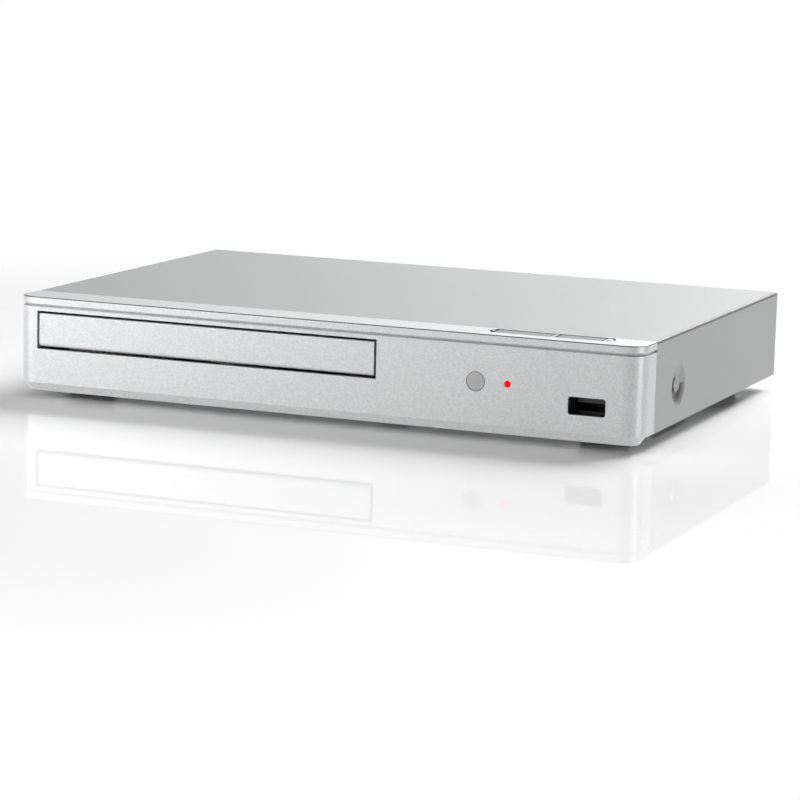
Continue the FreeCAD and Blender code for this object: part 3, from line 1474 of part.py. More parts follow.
def belt_loop(extra):
    """A loop round both pulleys, a little outside their grooves."""
    apart = "sqrt(motor_from_gear^2 + motor_forward^2)"
    lean = "acos((pulley_radius - motor_pulley_radius) / (%s))" % apart
    tilt = "atan(motor_forward / motor_from_gear)"

    def touch(x, y, radius, side):
        angle = "(%d * (%s) - %s)" % (side, lean, tilt)
        return ("%s + (%s + %s) * cos(%s)" % (x, radius, extra, angle),
                "%s + (%s + %s) * sin(%s)" % (y, radius, extra, angle))

    def draw(made):
        big = ("pulley_gear_x", "gear_y", "pulley_radius")
        small = ("motor_x", "motor_y", "motor_pulley_radius")
        ends = [(touch(*big, side), touch(*small, side)) for side in (1, -1)]
        middle = [Vector(value(x), value(y), 0) for x, y, radius in (big, small)]
        away = (middle[1] - middle[0]).normalize()
        arcs = []
        for (x, y, radius), index, sign in ((big, 0, -1), (small, 1, 1)):
            top = spot_of(ends[0][index])
            low = spot_of(ends[1][index])
            far = middle[index] + away * sign * value("%s + %s" % (radius, extra))
            arc, first_end = add_arc(made, top, far, low)
            pin_point(made, arc, 3, x, y)
            fix_radius(made, arc, "%s + %s" % (radius, extra))
            arcs.append((arc, top))
        for number in (0, 1):
            first, last = ends[number]
            line = made.addGeometry(Part.LineSegment(spot_of(first), spot_of(last)), False)
            for end, (arc, top), spot in ((1, arcs[0], spot_of(first)), (2, arcs[1], spot_of(last))):
                start = made.Geometry[arc].StartPoint
                side = 1 if start.distanceToPoint(spot) < NEAR else 2
                made.addConstraint(Sketcher.Constraint("Tangent", line, end, arc, side))

    return draw


# Cam slider: its sloping slot lowers the front of the lift ring
def cam_slider():
    piece = Piece("cam_slider")
    left, right = loader_x("-cam_half_width"), loader_x("cam_half_width")
    piece.pad("XZ", "cam_y", "cam_thickness",
              box(left, "cam_bottom", right, "cam_bottom + cam_height", "cam_round"))
    high = (loader_x("cam_pin_x"), "cam_pin_level")
    low = (loader_x("cam_pin_x - cam_stroke"), "cam_pin_level - cam_drop")
    piece.cut("XZ", "cam_y - past", "cam_thickness + 2 * past",
              stadium(high, low, "cam_pin_radius + cam_clearance"))
    piece.cut("XZ", "cam_y - past", "cam_thickness + 2 * past",
              stadium((loader_x("-cam_half_width + cam_hole_start"), "cam_bottom + cam_height / 2"),
                      (loader_x("-cam_half_width + cam_hole_end"), "cam_bottom + cam_height / 2"),
                      "cam_hole_radius"))
    return piece.done()


ISOLATORS = tuple((x, y) for x in mirrored_x("isolator_x") for y in ("isolator_front_y", "isolator_rear_y"))


# Traverse: a ring on two trunnions that carries the spindle and the pickup
def lift_ring():
    piece = Piece("lift_ring")
    piece.pad("XY", "ring_bottom", "ring_height",
              frame_of("door_middle", "ring_half_width", "ring_y", "ring_rear"),
              frame_of("door_middle", "ring_half_width - ring_bar", "ring_y + ring_bar",
                       "ring_rear - ring_bar"))
    piece.pad("YZ", loader_x("-ring_half_width - trunnion_length"), "trunnion_length + past",
              circle("pivot_y", "pivot_level", "pivot_radius"))
    piece.pad("YZ", loader_x("ring_half_width - past"), "trunnion_length + past",
              circle("pivot_y", "pivot_level", "pivot_radius"))
    piece.pad("XZ", "ring_y - cam_pin_length", "cam_pin_length + past",
              circle(loader_x("cam_pin_x"), "cam_pin_level", "cam_pin_radius"))
    for x, y in ISOLATORS:
        piece.cut("XY", "ring_bottom - past", "ring_height + 2 * past", circle(x, y, "pilot_radius"))
    return piece.done()


def rubber_isolator(name):
    piece = Piece(name)
    low, high = "plate_bottom - ring_bottom - ring_height", "plate_top - ring_bottom - ring_height"
    piece.turn(outline(("shank_radius + touch_gap", "0"), ("isolator_radius", "0"),
                       ("isolator_radius", low),
                       ("isolator_neck", low), ("isolator_neck", high), ("isolator_radius", high),
                       ("isolator_radius", high + " + isolator_flange"),
                       ("shank_radius + touch_gap", high + " + isolator_flange")))
    return piece


def traverse_plate():
    piece = Piece("traverse_plate")
    piece.pad("XY", "plate_bottom", "plate_sheet",
              frame_of("door_middle", "plate_half_width", "ring_y + past", "plate_rear"),
              frame_of("door_middle", "window_half_width", "disc_y + window_front",
                       "rod_back - rod_tab - window_rear_gap"))
    for x in mirrored_x("rod_from_middle"):
        for y in ("rod_front", "rod_back - rod_tab"):
            piece.pad("XZ", y, "rod_tab",
                      frame_of(x, "rod_tab_half", "rod_level - rod_tab_drop", "plate_bottom + touch_gap"))
    piece.pad("XZ", "rod_back - rod_tab", "rod_tab",
              box("door_middle + rod_from_middle", "lead_screw_level - screw_tab_drop",
                  "screw_x + screw_tab_side", "plate_bottom + touch_gap"))
    piece.cut("XZ", "rod_front - past", "rod_back - rod_front + 2 * past",
              *[circle(x, "rod_level", "rod_radius + fit_gap") for x in mirrored_x("rod_from_middle")])
    piece.cut("XZ", "rod_back - rod_tab - past", "rod_tab + 2 * past",
              circle("screw_x", "lead_screw_level", "lead_screw_radius + shaft_gap"))
    piece.cut("XY", "plate_bottom - past", "plate_sheet + 2 * past",
              circle("door_middle", "disc_y", "bearing_radius / 2 + bearing_hole_gap"),
              *[circle(x, y, "isolator_neck + touch_gap") for x, y in ISOLATORS])
    return piece.done()


def spindle_motor():
    piece = Piece("spindle_motor")
    piece.turn(outline(("shaft_radius + shaft_gap", "pickup_bottom"),
                       ("bearing_radius / 2", "pickup_bottom"),
                       ("bearing_radius / 2", "plate_bottom - bearing_flange"),
                       ("bearing_radius", "plate_bottom - bearing_flange"),
                       ("bearing_radius", "plate_bottom"),
                       ("bearing_radius / 2 + bearing_step", "plate_bottom"),
                       ("bearing_radius / 2 + bearing_step", "plate_top"), ("stator_radius", "plate_top"),
                       ("stator_radius", "plate_top + stator_height"),
                       ("shaft_radius + shaft_gap", "plate_top + stator_height")),
               at="disc_y", across="door_middle")
    return piece.done()


def spindle_rotor():
    piece = Piece("spindle_rotor")
    top = "seat_level - turntable_plate"
    end = "seat_level + hub_height - shaft_below_hub"
    piece.turn(outline(("0", "pickup_bottom + shaft_end_gap"),
                       ("shaft_radius", "pickup_bottom + shaft_end_gap"),
                       ("shaft_radius", top + " - bell_wall"),
                       ("bell_radius - bell_wall", top + " - bell_wall"),
                       ("bell_radius - bell_wall", top + " - bell_height"),
                       ("bell_radius", top + " - bell_height"), ("bell_radius", top),
                       ("shaft_radius", top), ("shaft_radius", end), ("0", end)),
               at="disc_y", across="door_middle")
    return piece.done()


def turntable():
    piece = Piece("turntable")
    low = "seat_level - turntable_plate"
    rim, groove = "seat_level - touch_gap", "seat_level - pad_depth"
    piece.turn(outline(("shaft_radius + fit_gap", low), ("turntable_radius", low),
                       ("turntable_radius", rim),
                       ("pad_radius", rim), ("pad_radius", groove), ("pad_inner_radius", groove),
                       ("pad_inner_radius", rim), ("hub_radius", rim),
                       ("hub_radius", "seat_level + hub_height / 2"),
                       ("hub_radius - hub_chamfer", "seat_level + hub_height"),
                       ("shaft_radius + fit_gap", "seat_level + hub_height")),
               at="disc_y", across="door_middle")
    return piece.done()


def turntable_pad():
    piece = Piece("turntable_pad")
    piece.turn(box("pad_inner_radius + fit_gap", "seat_level - pad_depth", "pad_radius - fit_gap",
                   "seat_level"),
               at="disc_y", across="door_middle")
    return piece.done()


def guide_rods():
    def rod(name):
        piece = Piece(name)
        piece.pad("XZ", "0", "rod_back - rod_front", circle("0", "0", "rod_radius"))
        return piece
    return group("guide_rods", rod, [(x, "rod_front", "rod_level") for x in mirrored_x("rod_from_middle")])


def pickup_body():
    piece = Piece("pickup_body")
    front = "lens_y - pickup_ahead_of_lens"
    rear = front + " + pickup_length"
    piece.pad("XY", "pickup_bottom", "pickup_top - pickup_bottom",
              frame_of("door_middle", "pickup_half_width", front, rear, "pickup_round"))
    piece.pad("XY", "lead_screw_level - arm_half", "rod_level - lead_screw_level + arm_half",
              box("screw_x - arm_inner", "lens_y - arm_half", "screw_x + arm_half", "lens_y + arm_half"))
    piece.pad("XY", "pickup_top - touch_gap", "turret_height + touch_gap",
              circle("door_middle", "lens_y", "turret_radius"))
    piece.cut("XY", "pickup_bottom - past", "pickup_top - pickup_bottom + 2 * past",
              circle("door_middle", "disc_y", "crescent_radius"))
    piece.cut("XY", "pickup_bottom - past", "pickup_pocket + past",
              frame_of("door_middle", "pickup_half_width - pickup_pocket_side",
                       "lens_y - pickup_pocket_front", rear + " - pickup_pocket"))
    piece.cut("XY", "pickup_top - lens_well", "2 * lens_well",
              circle("door_middle", "lens_y", "lens_radius + lens_well_gap"))
    piece.cut("XZ", front + " - past", "pickup_length + 2 * past",
              *[circle(x, "rod_level", "rod_radius + shaft_gap") for x in mirrored_x("rod_from_middle")],
              circle("screw_x", "lead_screw_level", "lead_screw_radius + shaft_gap"))
    return piece.done()


def objective_lens():
    piece = Piece("objective_lens")
    low, top = "pickup_top - lens_well", "seat_level - lens_gap"
    piece.turn(outline(("0", low), ("lens_radius", low), ("lens_radius", top + " - lens_bevel"),
                       ("lens_radius - lens_dome", top), ("0", top)),
               at="lens_y", across="door_middle")
    return piece.done()


def lead_screw():
    piece = Piece("lead_screw")
    length = "(rod_back - disc_y - screw_start)"
    core, outer = "lead_screw_radius - thread_depth", "lead_screw_radius + seam_gap"
    piece.turn(box("0", "0", length, "lead_screw_radius"), plane="YZ", axis="H_Axis")
    piece.groove(outline(("thread_start", core), ("thread_start + thread_flat", core),
                         ("thread_start + thread_flat + thread_flank", outer),
                         ("thread_start - thread_flank", outer)), plane="YZ", axis="H_Axis")
    piece.repeat("Y", "(thread_turns - 1) * lead", "thread_turns")
    return piece.done("screw_x", "disc_y + screw_start", "lead_screw_level")


def sled_motor():
    piece = Piece("sled_motor")
    piece.pad("XZ", "disc_y + screw_start - sled_motor_length", "sled_motor_length",
              circle("screw_x", "lead_screw_level", "sled_motor_radius"))
    piece.dress("Chamfer", lambda edge: True, Size="sled_chamfer")
    return piece.done()


# Clamp above the disc
def clamp_bridge():
    piece = Piece("clamp_bridge")
    half = "wall_x + bridge_post_width - bridge_side_gap"
    low, high = "disc_y - bridge_depth / 2", "disc_y + bridge_depth / 2"
    piece.pad("XY", "bridge_bottom", "bridge_sheet", frame_of("door_middle", half, low, high))
    piece.pad("XY", "bridge_top - touch_gap", "bridge_flange + touch_gap",
              frame_of("door_middle", "tray_width / 2", low, low + " + bridge_sheet"),
              frame_of("door_middle", "tray_width / 2", high + " - bridge_sheet", high))
    piece.cut("XY", "bridge_bottom - past", "bridge_sheet + 2 * past",
              circle("door_middle", "disc_y", "clamper_radius + clamper_hole_gap"),
              *[circle(x, y, "clear_radius") for x in mirrored_x("bridge_screw_x") for y in BRIDGE_SCREW_Y])
    return piece.done()


def clamper():
    piece = Piece("clamper")
    web, floor = "clamper_bottom + clamper_web", "clamper_bottom + clamper_web + clamper_floor"
    top = "bridge_top + runner_gap + clamper_plate"
    piece.turn(outline(("0", web), ("hub_radius + clamper_hub_gap", web),
                       ("hub_radius + clamper_hub_gap", "clamper_bottom"),
                       ("clamper_radius", "clamper_bottom"), ("clamper_radius", "bridge_top + runner_gap"),
                       ("clamper_flange", "bridge_top + runner_gap"), ("clamper_flange", top),
                       ("magnet_radius + shaft_gap", top), ("magnet_radius + shaft_gap", floor),
                       ("0", floor)),
               at="disc_y", across="door_middle")
    return piece.done()


def clamper_magnet():
    piece = Piece("clamper_magnet")
    low = "clamper_bottom + clamper_web + clamper_floor"
    piece.turn(box("magnet_hole", low, "magnet_radius", low + " + magnet_height"),
               at="disc_y", across="door_middle")
    return piece.done()


# Front electronics
def front_board():
    piece = Piece("front_board")
    piece.pad("XY", "front_board_level", "board_sheet",
              box("front_board_left", "front_board_y", "front_board_right", "front_board_rear"),
              *[circle(x, y, "clear_radius") for x, y in FRONT_POSTS])
    return piece.done()


def tact_switch(name):
    piece = Piece(name)
    piece.pad("XY", "0", "switch_body", frame_of("0", "switch_half", "-switch_half", "switch_half"))
    piece.pad("XY", "switch_body", "switch_plunger", circle("0", "0", "stem_radius"))
    return piece


def usb_socket():
    piece = Piece("usb_socket")
    half, tall = "usb_shell_width / 2", "usb_shell_height / 2"
    piece.pad("XZ", "usb_back_y", "usb_shell_length",
              frame_of("usb_x", half, "usb_z - " + tall, "usb_z + " + tall, "usb_shell_round"))
    piece.cut("XZ", "usb_back_y - past", "usb_shell_length + past - usb_shell_wall", frame_of(
        "usb_x", half + " - usb_shell_wall", "usb_z - %s + usb_shell_wall" % tall,
        "usb_z + %s - usb_shell_wall" % tall, "usb_shell_round - usb_shell_wall"))
    return piece.done()


def usb_tongue():
    piece = Piece("usb_tongue")
    side = "usb_shell_width / 2 - usb_shell_wall - fit_gap"
    tall = "(usb_shell_height / 2 - usb_shell_wall - fit_gap)"
    piece.pad("XZ", "usb_back_y + tongue_setback", "usb_shell_length - tongue_base",
              frame_of("usb_x", "tongue_half", "usb_z + tongue_low", "usb_z + tongue_high"))
    piece.pad("XZ", "usb_back_y + usb_shell_length - tongue_base", "tongue_base - usb_shell_wall - fit_gap",
              frame_of("usb_x", side, "usb_z - " + tall, "usb_z + " + tall, "tongue_round"))
    return piece.done()


def ir_window():
    piece = Piece("ir_window")
    piece.pad("XZ", "front_y", "usb_mouth_depth", circle("window_x", "window_z", "window_radius"))
    piece.dress("Fillet", lambda edge: edge.BoundBox.YMax < value("front_y") + NEAR, Radius="lens_round")
    return piece.done()


def led_lens():
    piece = Piece("led_lens")
    piece.pad("XZ", "front_y", "panel_wall + past", circle("lamp_x", "window_z", "lamp_radius"))
    piece.dress("Fillet", lambda edge: edge.BoundBox.YMax < value("front_y") + NEAR, Radius="lens_round")
    piece.pad("XZ", "panel_inner_y + shaft_gap", "past",
              circle("lamp_x", "window_z", "lamp_radius + lamp_flange"))
    return piece.done()


def ir_receiver():
    piece = Piece("ir_receiver")
    front = "front_board_y + receiver_setback"
    piece.pad("XY", "front_board_top", "window_z + receiver_rise - front_board_top",
              frame_of("window_x", "receiver_half", front, front + " + receiver_depth", "receiver_round"))
    piece.turn(box("0", "front_board_y + touch_gap", "receiver_dome", front + " + touch_gap"),
               plane="XY", at="window_z", across="window_x")
    return piece.done()


def power_led():
    piece = Piece("power_led")
    piece.pad("XZ", "panel_inner_y + led_setback", "led_length", circle("lamp_x", "window_z", "led_radius"))
    piece.pad("XZ", "led_back - past", "past", circle("lamp_x", "window_z", "led_radius + led_rim"))
    for x in ("lamp_x - led_leg_x", "lamp_x + led_leg_x"):
        piece.pad("XY", "front_board_top", "window_z - front_board_top",
                  frame_of(x, "led_leg_half", "led_back - seam_gap - 2 * led_leg_half",
                           "led_back - seam_gap"))
    return piece.done()


# Boards, sockets and the power supply
def circuit_board(name, left, right, front, posts):
    piece = Piece(name)
    piece.pad("XY", "board_level", "board_sheet", box(left, front, right, "rear_inner_y - board_gap"),
              *[circle(x, y, "clear_radius") for x, y in posts])
    return piece.done()


def main_chip():
    piece = Piece("main_chip")
    piece.pad("XY", "board_top", "chip_height",
              frame_of("chip_x", "chip_half", "chip_y - chip_half", "chip_y + chip_half"))
    return piece.done()


def heat_sink():
    piece = Piece("heat_sink")
    low, front = "board_top + chip_height", "chip_y - sink_half"
    left = "chip_x - sink_half + sink_fin"
    piece.pad("XY", low, "sink_height", frame_of("chip_x", "sink_half", front, "chip_y + sink_half"))
    piece.cut("XZ", front + " - past", "2 * (sink_half + past)",
              box(left, low + " + sink_base", left + " + sink_slot", low + " + sink_height + past"))
    piece.repeat("X", "(sink_slots - 1) * sink_pitch", "sink_slots")
    return piece.done()


def can(radius, height):
    """An electrolytic capacitor that stands on a board."""
    def made(name):
        piece = Piece(name)
        piece.turn(outline(("0", "0"), (radius, "0"), (radius, "can_crimp_level"),
                           (radius + " - can_crimp", "can_crimp_level + can_crimp_rise"),
                           (radius, "can_crimp_level + 2 * can_crimp_rise"), (radius, height),
                           (radius + " - can_rim", height), (radius + " - can_rim", height + " - can_dish"),
                           ("0", height + " - can_dish")))
        return piece
    return made


def hdmi_socket():
    piece = Piece("hdmi_socket")
    back = "rear_wall_y + socket_proud - hdmi_length"
    high, low, shoulder = "hdmi_top", "board_top", "board_top + hdmi_shoulder"
    wide, small = "hdmi_width / 2", "(hdmi_width / 2 - hdmi_taper)"

    def shell(inset):
        left, right = "hdmi_x - %s + %s" % (wide, inset), "hdmi_x + %s - %s" % (wide, inset)
        return outline((left, "%s - %s" % (high, inset)), (right, "%s - %s" % (high, inset)),
                       (right, shoulder), ("hdmi_x + %s - %s" % (small, inset), "%s + %s" % (low, inset)),
                       ("hdmi_x - %s + %s" % (small, inset), "%s + %s" % (low, inset)), (left, shoulder))

    piece.pad("XZ", back, "hdmi_length", shell("0"))
    piece.cut("XZ", back + " + hdmi_back", "hdmi_length", shell("hdmi_wall"))
    piece.pad("XZ", back + " + past", "hdmi_length - past - hdmi_tongue_setback",
              frame_of("hdmi_x", "hdmi_width / 2 - hdmi_tongue_inset", "board_top + hdmi_tongue_low",
                       "board_top + hdmi_tongue_low + hdmi_tongue"))
    return piece.done()


def lan_socket():
    piece = Piece("lan_socket")
    back = "rear_wall_y + socket_proud - lan_length"
    low, shoulder, top = "board_top + lan_low", "board_top + lan_shoulder", "board_top + lan_key_top"
    piece.pad("XZ", back, "lan_length", frame_of("lan_x", "lan_width / 2", "board_top", "lan_top"))
    piece.cut("XZ", "rear_wall_y + socket_proud - lan_cavity", "lan_cavity + past", outline(
        ("lan_x - lan_half", low), ("lan_x + lan_half", low), ("lan_x + lan_half", shoulder),
        ("lan_x + lan_key_half", shoulder), ("lan_x + lan_key_half", top), ("lan_x - lan_key_half", top),
        ("lan_x - lan_key_half", shoulder), ("lan_x - lan_half", shoulder)))
    return piece.done()


def coax_socket():
    piece = Piece("coax_socket")
    piece.pad("XY", "board_top", "coax_z + coax_block_half - board_top",
              frame_of("coax_x", "coax_block_half", "rear_inner_y - coax_block", "rear_inner_y - seam_gap"))
    piece.pad("XZ", "rear_inner_y - past", "rear_y + rear_proud - coax_setback - rear_inner_y + past",
              circle("coax_x", "coax_z", "coax_radius"))
    piece.cut("XZ", "rear_inner_y - coax_hole_depth", "coax_block", circle("coax_x", "coax_z", "coax_hole"))
    return piece.done()


def ac_inlet():
    piece = Piece("ac_inlet")
    front = "rear_y + rear_proud - inlet_length"
    low, high = "inlet_level - inlet_height / 2", "inlet_level + inlet_height / 2"
    piece.pad("XZ", front, "inlet_length", frame_of("inlet_x", "inlet_width / 2", low, high, "inlet_round"))
    piece.pad("XZ", "rear_wall_y + shaft_gap", "inlet_flange",
              frame_of("inlet_x", "inlet_width / 2 + inlet_lip", low + " - inlet_lip",
                       high + " + inlet_lip", "inlet_flange_round"))
    half = "inlet_hole_height / 2"
    side = "(inlet_hole_width - inlet_hole_height) / 2"
    piece.cut("XZ", "rear_y + rear_proud - inlet_hole_depth", "inlet_hole_depth + past",
              stadium(("inlet_x - " + side, "inlet_level"), ("inlet_x + " + side, "inlet_level"), half))
    for sign in ("-", "+"):
        piece.cut("XZ", front + " - past", "inlet_length",
                  circle("inlet_x %s inlet_pin_spacing / 2" % sign, "inlet_level",
                         "inlet_pin_radius + fit_gap"))
    return piece.done()


def inlet_pins():
    def pin(name):
        piece = Piece(name)
        piece.pad("XZ", "0", "inlet_length + past", circle("0", "0", "inlet_pin_radius"))
        return piece
    spots = [("inlet_x %s inlet_pin_spacing / 2" % sign,
              "rear_y + rear_proud - inlet_length - inlet_pin_back",
              "inlet_level") for sign in ("-", "+")]
    return group("inlet_pins", pin, spots)


def transformer():
    piece = Piece("transformer")
    flange = frame_of("trafo_x", "trafo_half_x", "trafo_y - trafo_half_y", "trafo_y + trafo_half_y")
    piece.pad("XY", "board_top", "trafo_foot", flange)
    piece.pad("XY", "board_top + trafo_foot", "trafo_coil",
              frame_of("trafo_x", "trafo_coil_half", "trafo_y - trafo_coil_half",
                       "trafo_y + trafo_coil_half",
                       "trafo_coil_round"))
    piece.pad("XY", "board_top + trafo_core_level", "trafo_core",
              frame_of("trafo_x", "trafo_core_half_x", "trafo_y - trafo_core_half_y",
                       "trafo_y + trafo_core_half_y"))
    piece.pad("XY", "board_top + trafo_foot + trafo_coil", "trafo_cap", flange)
    return piece.done()


def flat_cables():
    """Flat ribbons: front board to main board, and main board to the pickup."""
    def front_ribbon(name):
        piece = Piece(name)
        low, high = "front_board_top", "front_board_top + ribbon_rise"
        near, far = "front_board_rear - ribbon_on_front_board", "main_board_front + ribbon_on_board"
        bend = "ribbon_bend - ribbon"
        piece.pad("YZ", "main_board_left + ribbon_from_left", "ribbon_width", outline(
            (near, low), (near, high, "ribbon_bend"), (far, high, "ribbon_bend"), (far, "board_top"),
            (far + " - ribbon", "board_top"), (far + " - ribbon", high + " - ribbon", bend),
            (near + " + ribbon", high + " - ribbon", bend), (near + " + ribbon", low)))
        return piece

    def pickup_ribbon(name):
        piece = Piece(name)
        low, high = "side_bottom + seam_gap", "side_bottom + seam_gap + ribbon"
        top = "board_top + pickup_ribbon_rise"
        near, rise = "main_board_left - pickup_ribbon_gap", "main_board_left + pickup_ribbon_on_board"
        piece.pad("XZ", "pivot_y - pickup_ribbon_front", "pickup_ribbon_width", outline(
            (loader_x("0"), low), (near, low), (near, top + " - ribbon"), (rise, top + " - ribbon"),
            (rise, "board_top"), (rise + " + ribbon", "board_top"), (rise + " + ribbon", top),
            (near + " - ribbon", top), (near + " - ribbon", high), (loader_x("ribbon"), high),
            (loader_x("ribbon"), "frame_floor_top"), (loader_x("0"), "frame_floor_top")))
        return piece

    items = [front_ribbon("front_ribbon").body, pickup_ribbon("pickup_ribbon").body]
    made = doc.addObject("Part::Compound", "flat_cables")
    made.Links = items
    return node(made, "flat_cables")


def electronics():
    front_board()
    group("tact_switches", tact_switch, [("power_stem_x", "stem_y", "front_board_top"),
                                         ("eject_stem_x", "stem_y", "front_board_top")])
    usb_socket()
    usb_tongue()
    ir_window()
    led_lens()
    ir_receiver()
    power_led()
    circuit_board("main_board", "main_board_left", "main_board_right", "main_board_front", MAIN_POSTS)
    main_chip()
    heat_sink()
    group("board_capacitors", can("board_can_radius", "board_can_height"),
          [("chip_x + %d * board_can_pitch" % step, "chip_y - board_can_from_chip", "board_top")
           for step in (-1, 0, 1)])
    hdmi_socket()
    lan_socket()
    coax_socket()
    circuit_board("power_board", "power_board_left", "power_board_right", "power_board_front", POWER_POSTS)
    transformer()
    group("mains_capacitors", can("mains_can_radius", "mains_can_height"),
          [("trafo_x", "trafo_y - mains_can_from_trafo - %d * mains_can_pitch" % step, "board_top")
           for step in (0, 1)])
    ac_inlet()
    inlet_pins()
    flat_cables()


def mechanism():
    loader_frame()
    disc_tray()
    tray_door()
    tray_gear()
    pulley_gear()
    motor_pulley()
    motor_shaft()
    loading_motor()
    drive_belt()
    cam_slider()
    lift_ring()
    group("isolators", rubber_isolator, [(x, y, "ring_bottom + ring_height") for x, y in ISOLATORS])
    group("traverse_screws", screw("screw_length + past"),
          [(x, y, "plate_top + isolator_flange") for x, y in ISOLATORS])
    traverse_plate()
    guide_rods()
    spindle_motor()
    spindle_rotor()
    turntable()
    turntable_pad()
    pickup_body()
    objective_lens()
    lead_screw()
    sled_motor()
    clamp_bridge()
    clamper()
    clamper_magnet()


def casing():
    front_panel()
    button_frame()
    for button in BUTTONS:
        push_button(*button)
    top_cover()
    bottom_chassis()
    rear_panel()
    feet_and_screws()


def check():
    """Stops the build if any object is broken."""
    for item in doc.Objects:
        if "Invalid" in item.State or "Error" in item.State:
            raise RuntimeError(item.Label + " is invalid")
    for item in NODES:
        if item.Shape.isNull() or not item.Shape.isValid():
            raise RuntimeError(item.Label + " has no valid shape")


fill_sheet()
casing()
mechanism()
electronics()
doc.recompute()
check()
for item in NODES:
    item.Shape.exportStep("parts/%s.step" % item.Label)
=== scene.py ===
# %% [markdown]
# # A compact disc player, from its bare solids to a finished picture
# The real player is a folded steel cover behind a moulded silver front. The solids already have the
# right shape and size, down to the screws, so this lesson adds no shape of its own. It is about the
# finishes, the light and the room that the paint mirrors.
# Everything is in metres. +X is to the right, -Y is the front and +Z is up.

# %% Load the solids
import bpy
import json
import math
from mathutils import Matrix, Vector

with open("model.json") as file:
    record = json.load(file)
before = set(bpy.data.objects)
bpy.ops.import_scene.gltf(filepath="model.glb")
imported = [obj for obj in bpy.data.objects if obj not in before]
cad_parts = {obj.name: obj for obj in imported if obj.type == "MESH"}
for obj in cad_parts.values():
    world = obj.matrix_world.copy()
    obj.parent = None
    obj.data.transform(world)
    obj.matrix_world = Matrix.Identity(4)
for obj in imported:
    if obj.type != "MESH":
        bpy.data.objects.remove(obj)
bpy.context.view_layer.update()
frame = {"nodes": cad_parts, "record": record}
nodes = frame["nodes"]
slot_of = {part["node"]: part["material_slot"] for part in frame["record"]["subparts"]}

# %% [markdown]
# ## The camera
# The photo was taken with a long lens from the front and a little to the right. Its place could be
# found by trial, but a fit to the straight edges of the casing is exact. The fit gives the camera's
# place and its three directions. A matrix holds them better than angles would, because the camera is
# also rolled by a degree and a half.

# %% Camera
CAMERA_PLACE = Vector((0.4580, -1.1498, 0.2015))
CAMERA_RIGHT = Vector((0.9263, 0.3758, 0.0268))
CAMERA_DOWN = Vector((0.0859, -0.1413, -0.9862))
CAMERA_FORWARD = Vector((-0.36685, 0.91586, -0.16317))
LENS_MM = 146.24
SENSOR_MM = 36.0

lens_data = bpy.data.cameras.new("photo_camera")
lens_data.lens = LENS_MM
lens_data.sensor_width = SENSOR_MM
camera = bpy.data.objects.new("photo_camera", lens_data)
bpy.context.scene.collection.objects.link(camera)
axes = Matrix((CAMERA_RIGHT, -CAMERA_DOWN, -CAMERA_FORWARD)).transposed().to_4x4()
camera.matrix_world = Matrix.Translation(CAMERA_PLACE) @ axes
bpy.context.scene.camera = camera
bpy.context.scene.view_settings.view_transform = "Standard"
print("camera looks along", CAMERA_FORWARD[:])

# %% [markdown]
# ## Helpers for node trees
# A material is a small network of nodes. In the editor they are added and linked by hand. In a script
# each link takes a long line, so a few helpers add a node and link or set its inputs in one go.


# %% Helpers for nodes
def feed(tree, socket, given):
    """Links a socket to another one, or sets it to a value."""
    if isinstance(given, bpy.types.NodeSocket):
        tree.links.new(given, socket)
    else:
        socket.default_value = given


def add_node(tree, kind, **inputs):
    """Adds a node and feeds its inputs; a name that isn't an input is set as a property."""
    made = tree.nodes.new(kind)
    for name, given in inputs.items():
        key = name.replace("_", " ")
        if hasattr(made, name) and key not in made.inputs:
            setattr(made, name, given)
        else:
            feed(tree, made.inputs[key], given)
    return made


def math_node(tree, operation, first, second=None, kind="ShaderNodeMath"):
    """One step of arithmetic."""
    made = add_node(tree, kind, operation=operation)
    for socket, given in zip(made.inputs, (first, second)):
        if given is not None:
            feed(tree, socket, given)
    return made.outputs[0]


def vector_math(tree, operation, first, second):
    """One step of arithmetic on vectors."""
    return math_node(tree, operation, first, second, "ShaderNodeVectorMath")


def mix_colour(tree, factor, first, second, blend="MIX"):
    """A mix of two colours."""
    made = add_node(tree, "ShaderNodeMix", data_type="RGBA", blend_type=blend)
    for socket, given in ((made.inputs[0], factor), (made.inputs[6], first), (made.inputs[7], second)):
        feed(tree, socket, (*given, 1.0) if isinstance(given, tuple) else given)
    return made.outputs[2]


print("helpers:", [tool.__name__ for tool in (feed, add_node, math_node, vector_math, mix_colour)])

# %% [markdown]
# ## Helpers for finishes
# Each finish is a pattern that more than one material uses, so it becomes a node group with named
# inputs. All of them put out a colour, a small shift of the roughness and a normal. They also share
# one trick: a pattern that runs from zero to one swings about its middle, and that swing makes the
# base colour a little lighter or darker.

# %% Helpers for groups
FLOAT, COLOUR, VECTOR = "NodeSocketFloat", "NodeSocketColor", "NodeSocketVector"
FINISH_OUTPUTS = (("Colour", COLOUR), ("Roughness Shift", FLOAT), ("Normal", VECTOR))


def new_group(name, inputs, outputs=FINISH_OUTPUTS):
    """A node group with named inputs and outputs."""
    tree = bpy.data.node_groups.new(name, "ShaderNodeTree")
    for label, kind, default in inputs:
        socket = tree.interface.new_socket(name=label, in_out="INPUT", socket_type=kind)
        socket.default_value = default
    for label, kind in outputs:
        tree.interface.new_socket(name=label, in_out="OUTPUT", socket_type=kind)
    return tree, tree.nodes.new("NodeGroupInput"), tree.nodes.new("NodeGroupOutput")


def swing(tree, pattern, amount):
    """A pattern's swing about its middle, times an amount."""
    return math_node(tree, "MULTIPLY", math_node(tree, "SUBTRACT", pattern, 0.5), amount)


def shaded(tree, base, shift):
    """The base colour, lighter or darker by a share."""
    level = math_node(tree, "ADD", 1.0, shift)
    grey = add_node(tree, "ShaderNodeCombineColor", Red=level, Green=level, Blue=level).outputs[0]
    return mix_colour(tree, 1.0, base, grey, "MULTIPLY")


